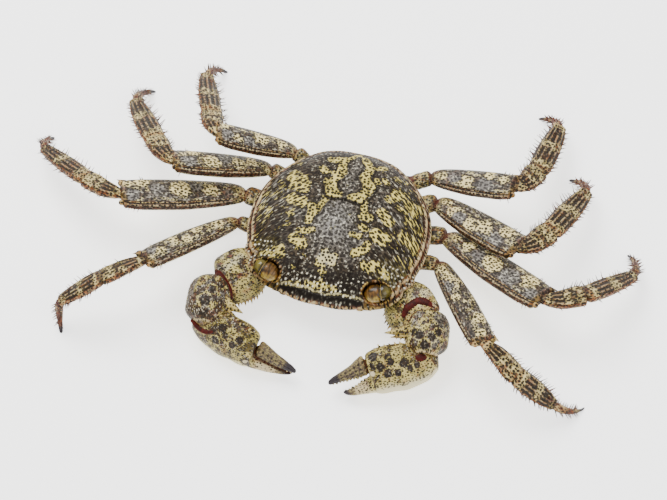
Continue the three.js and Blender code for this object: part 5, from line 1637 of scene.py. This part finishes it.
class CRAB_OT_bristles(bpy.types.Operator):
    """Set the stiff hairs and small spines along the legs"""

    bl_idname = "crab.bristles"
    bl_label = "Bristles"

    def execute(self, context):
        sizes = context.scene.crab_sizes
        length, radius = sizes.bristle / MM, sizes.bristle_radius / MM
        # Segment, edge (1 leads, -1 trails, 0 along the top), count, span, length and lean to the tip.
        rows = (
            ("merus", -1, 5, (0.8, 0.93), 0.5, 0.5), ("merus", 1, 4, (0.86, 0.96), 0.7, 0.7),
            ("carpus", 1, 12, (0.15, 0.95), 0.5, 0.8), ("carpus", -1, 7, (0.5, 0.95), 0.75, 0.8),
            ("propodus", -1, 20, (0.06, 0.95), 1.0, 0.75), ("propodus", 1, 18, (0.06, 0.95), 0.6, 0.9),
            ("propodus", 0, 5, (0.7, 0.96), 0.45, 1.2), ("dactyl", 1, 11, (0.04, 0.8), 0.75, 0.8),
            ("dactyl", -1, 11, (0.04, 0.8), 0.7, 0.8), ("dactyl", 0, 9, (0.04, 0.78), 0.6, 0.9),
        )
        for leg_name, leg in LEGS.items():
            for side_name in SIDES:
                limbs = leg_limbs(leg_name, side_name)
                luck = np.random.default_rng(17 + int(leg_name[-1]) * 2 + (SIDES[side_name] > 0))
                hairs = None
                for part, edge, count, span, tall, lean in rows:
                    limb = limbs[part]
                    for i in range(count):
                        at = span[0] + (span[1] - span[0]) * (i + 0.5 * luck.random()) / count
                        turn = {1: 0.0, -1: math.pi, 0: math.pi / 2}[edge * leg["bulge"] if edge else 0]
                        turn += luck.uniform(-0.25, 0.35) * (1 if edge != -1 else -1)
                        long = length * tall * luck.uniform(0.7, 1.25)
                        ends = [limb.surface(np.array([share]), np.array([turn]), proud)[0]
                                for share, proud in ((at, -0.25), (at + lean * long / limb.length * 0.6, long * 0.75))]
                        if ends[1][2] < 0.05:
                            continue
                        hair = cone_form(ends[0], ends[1], radius * (1.9 if part == "dactyl" or tall < 0.65 else 1.4), 0.04, 5)
                        hairs = hair if hairs is None else hairs.join(hair)
                hairs.piece(f"{leg_name}_{side_name}_bristles", [material("bristle_horn")], "leg_shell")
        return {"FINISHED"}


# ---- Stage ----


class CRAB_OT_stage(bpy.types.Operator):
    """Set the floor, the soft studio lights and the camera"""

    bl_idname = "crab.stage"
    bl_label = "Stage"

    def execute(self, context):
        stage = context.scene.crab_stage
        bm = bmesh.new()
        bmesh.ops.create_grid(bm, x_segments=2, y_segments=2, size=3.0)
        mesh = bpy.data.meshes.new("floor")
        bm.to_mesh(mesh)
        bm.free()
        floor = bpy.data.objects.new("floor", mesh)
        context.collection.objects.link(floor)
        paper = bpy.data.materials.new("paper_floor")
        paper.use_nodes = True
        shader = paper.node_tree.nodes["Principled BSDF"]
        shader.inputs["Base Color"].default_value = (*context.scene.crab_colours.floor, 1)
        shader.inputs["Roughness"].default_value = 0.9
        shader.inputs["Emission Color"].default_value = (1, 1, 1, 1)
        shader.inputs["Emission Strength"].default_value = 1.3
        mesh.materials.append(paper)

        world = bpy.data.worlds.new("studio")
        context.scene.world = world
        world.use_nodes = True
        world.node_tree.nodes["Background"].inputs[0].default_value = (1, 1, 1, 1)
        world.node_tree.nodes["Background"].inputs[1].default_value = 1.2
        for name, place, size, power in (
            ("key", (-0.28, 0.25, 0.6), 0.45, stage.key_power),
            ("fill", (0.5, -0.35, 0.5), 0.6, stage.fill_power),
        ):
            light = bpy.data.lights.new(name, "AREA")
            light.size, light.energy = size, power
            lamp = bpy.data.objects.new(name, light)
            lamp.location = place
            lamp.rotation_euler = (-Vector(place)).to_track_quat("-Z", "Y").to_euler()
            context.collection.objects.link(lamp)

        camera = bpy.data.objects.new("camera", bpy.data.cameras.new("camera"))
        context.collection.objects.link(camera)
        context.scene.camera = camera
        azimuth, elevation = stage.azimuth, stage.elevation
        back = Vector((math.sin(azimuth) * math.cos(elevation), -math.cos(azimuth) * math.cos(elevation),
                       math.sin(elevation)))
        target = Vector(np.array((-0.5, -6.2, 8.0)) + BODY_PLACE) * MM
        camera.location = target + back * stage.distance
        camera.rotation_euler = back.to_track_quat("Z", "Y").to_euler()
        camera.data.lens = stage.lens
        camera.data.sensor_width = 36
        camera.data.clip_start, camera.data.clip_end = 0.02, 20
        return {"FINISHED"}


# ---- Sidebar and start ----

STEPS = (CRAB_OT_stage, CRAB_OT_back, CRAB_OT_eyes, CRAB_OT_underside, CRAB_OT_legs, CRAB_OT_bristles,
         CRAB_OT_claws)


class CRAB_PT_sidebar(bpy.types.Panel):
    """The crab's pieces, sizes and colours"""

    bl_idname = "CRAB_PT_sidebar"
    bl_label = "Shore crab"
    bl_space_type = "VIEW_3D"
    bl_region_type = "UI"
    bl_category = "Crab"

    def draw(self, context):
        for step in STEPS:
            self.layout.operator(step.bl_idname)
        for group in (context.scene.crab_sizes, context.scene.crab_colours, context.scene.crab_stage):
            box = self.layout.box()
            for name in group.__annotations__:
                box.prop(group, name)


CLASSES = (CrabColours, CrabSizes, CrabStage, *STEPS, CRAB_PT_sidebar)


def register():
    for made in CLASSES:
        bpy.utils.register_class(made)
    bpy.types.Scene.crab_colours = bpy.props.PointerProperty(type=CrabColours)
    bpy.types.Scene.crab_sizes = bpy.props.PointerProperty(type=CrabSizes)
    bpy.types.Scene.crab_stage = bpy.props.PointerProperty(type=CrabStage)


def unregister():
    for name in ("crab_colours", "crab_sizes", "crab_stage"):
        delattr(bpy.types.Scene, name)
    for made in reversed(CLASSES):
        bpy.utils.unregister_class(made)


def main():
    register()
    for step in STEPS:
        group, name = step.bl_idname.split(".")
        getattr(getattr(bpy.ops, group), name)()


if __name__ == "__main__":
    main()
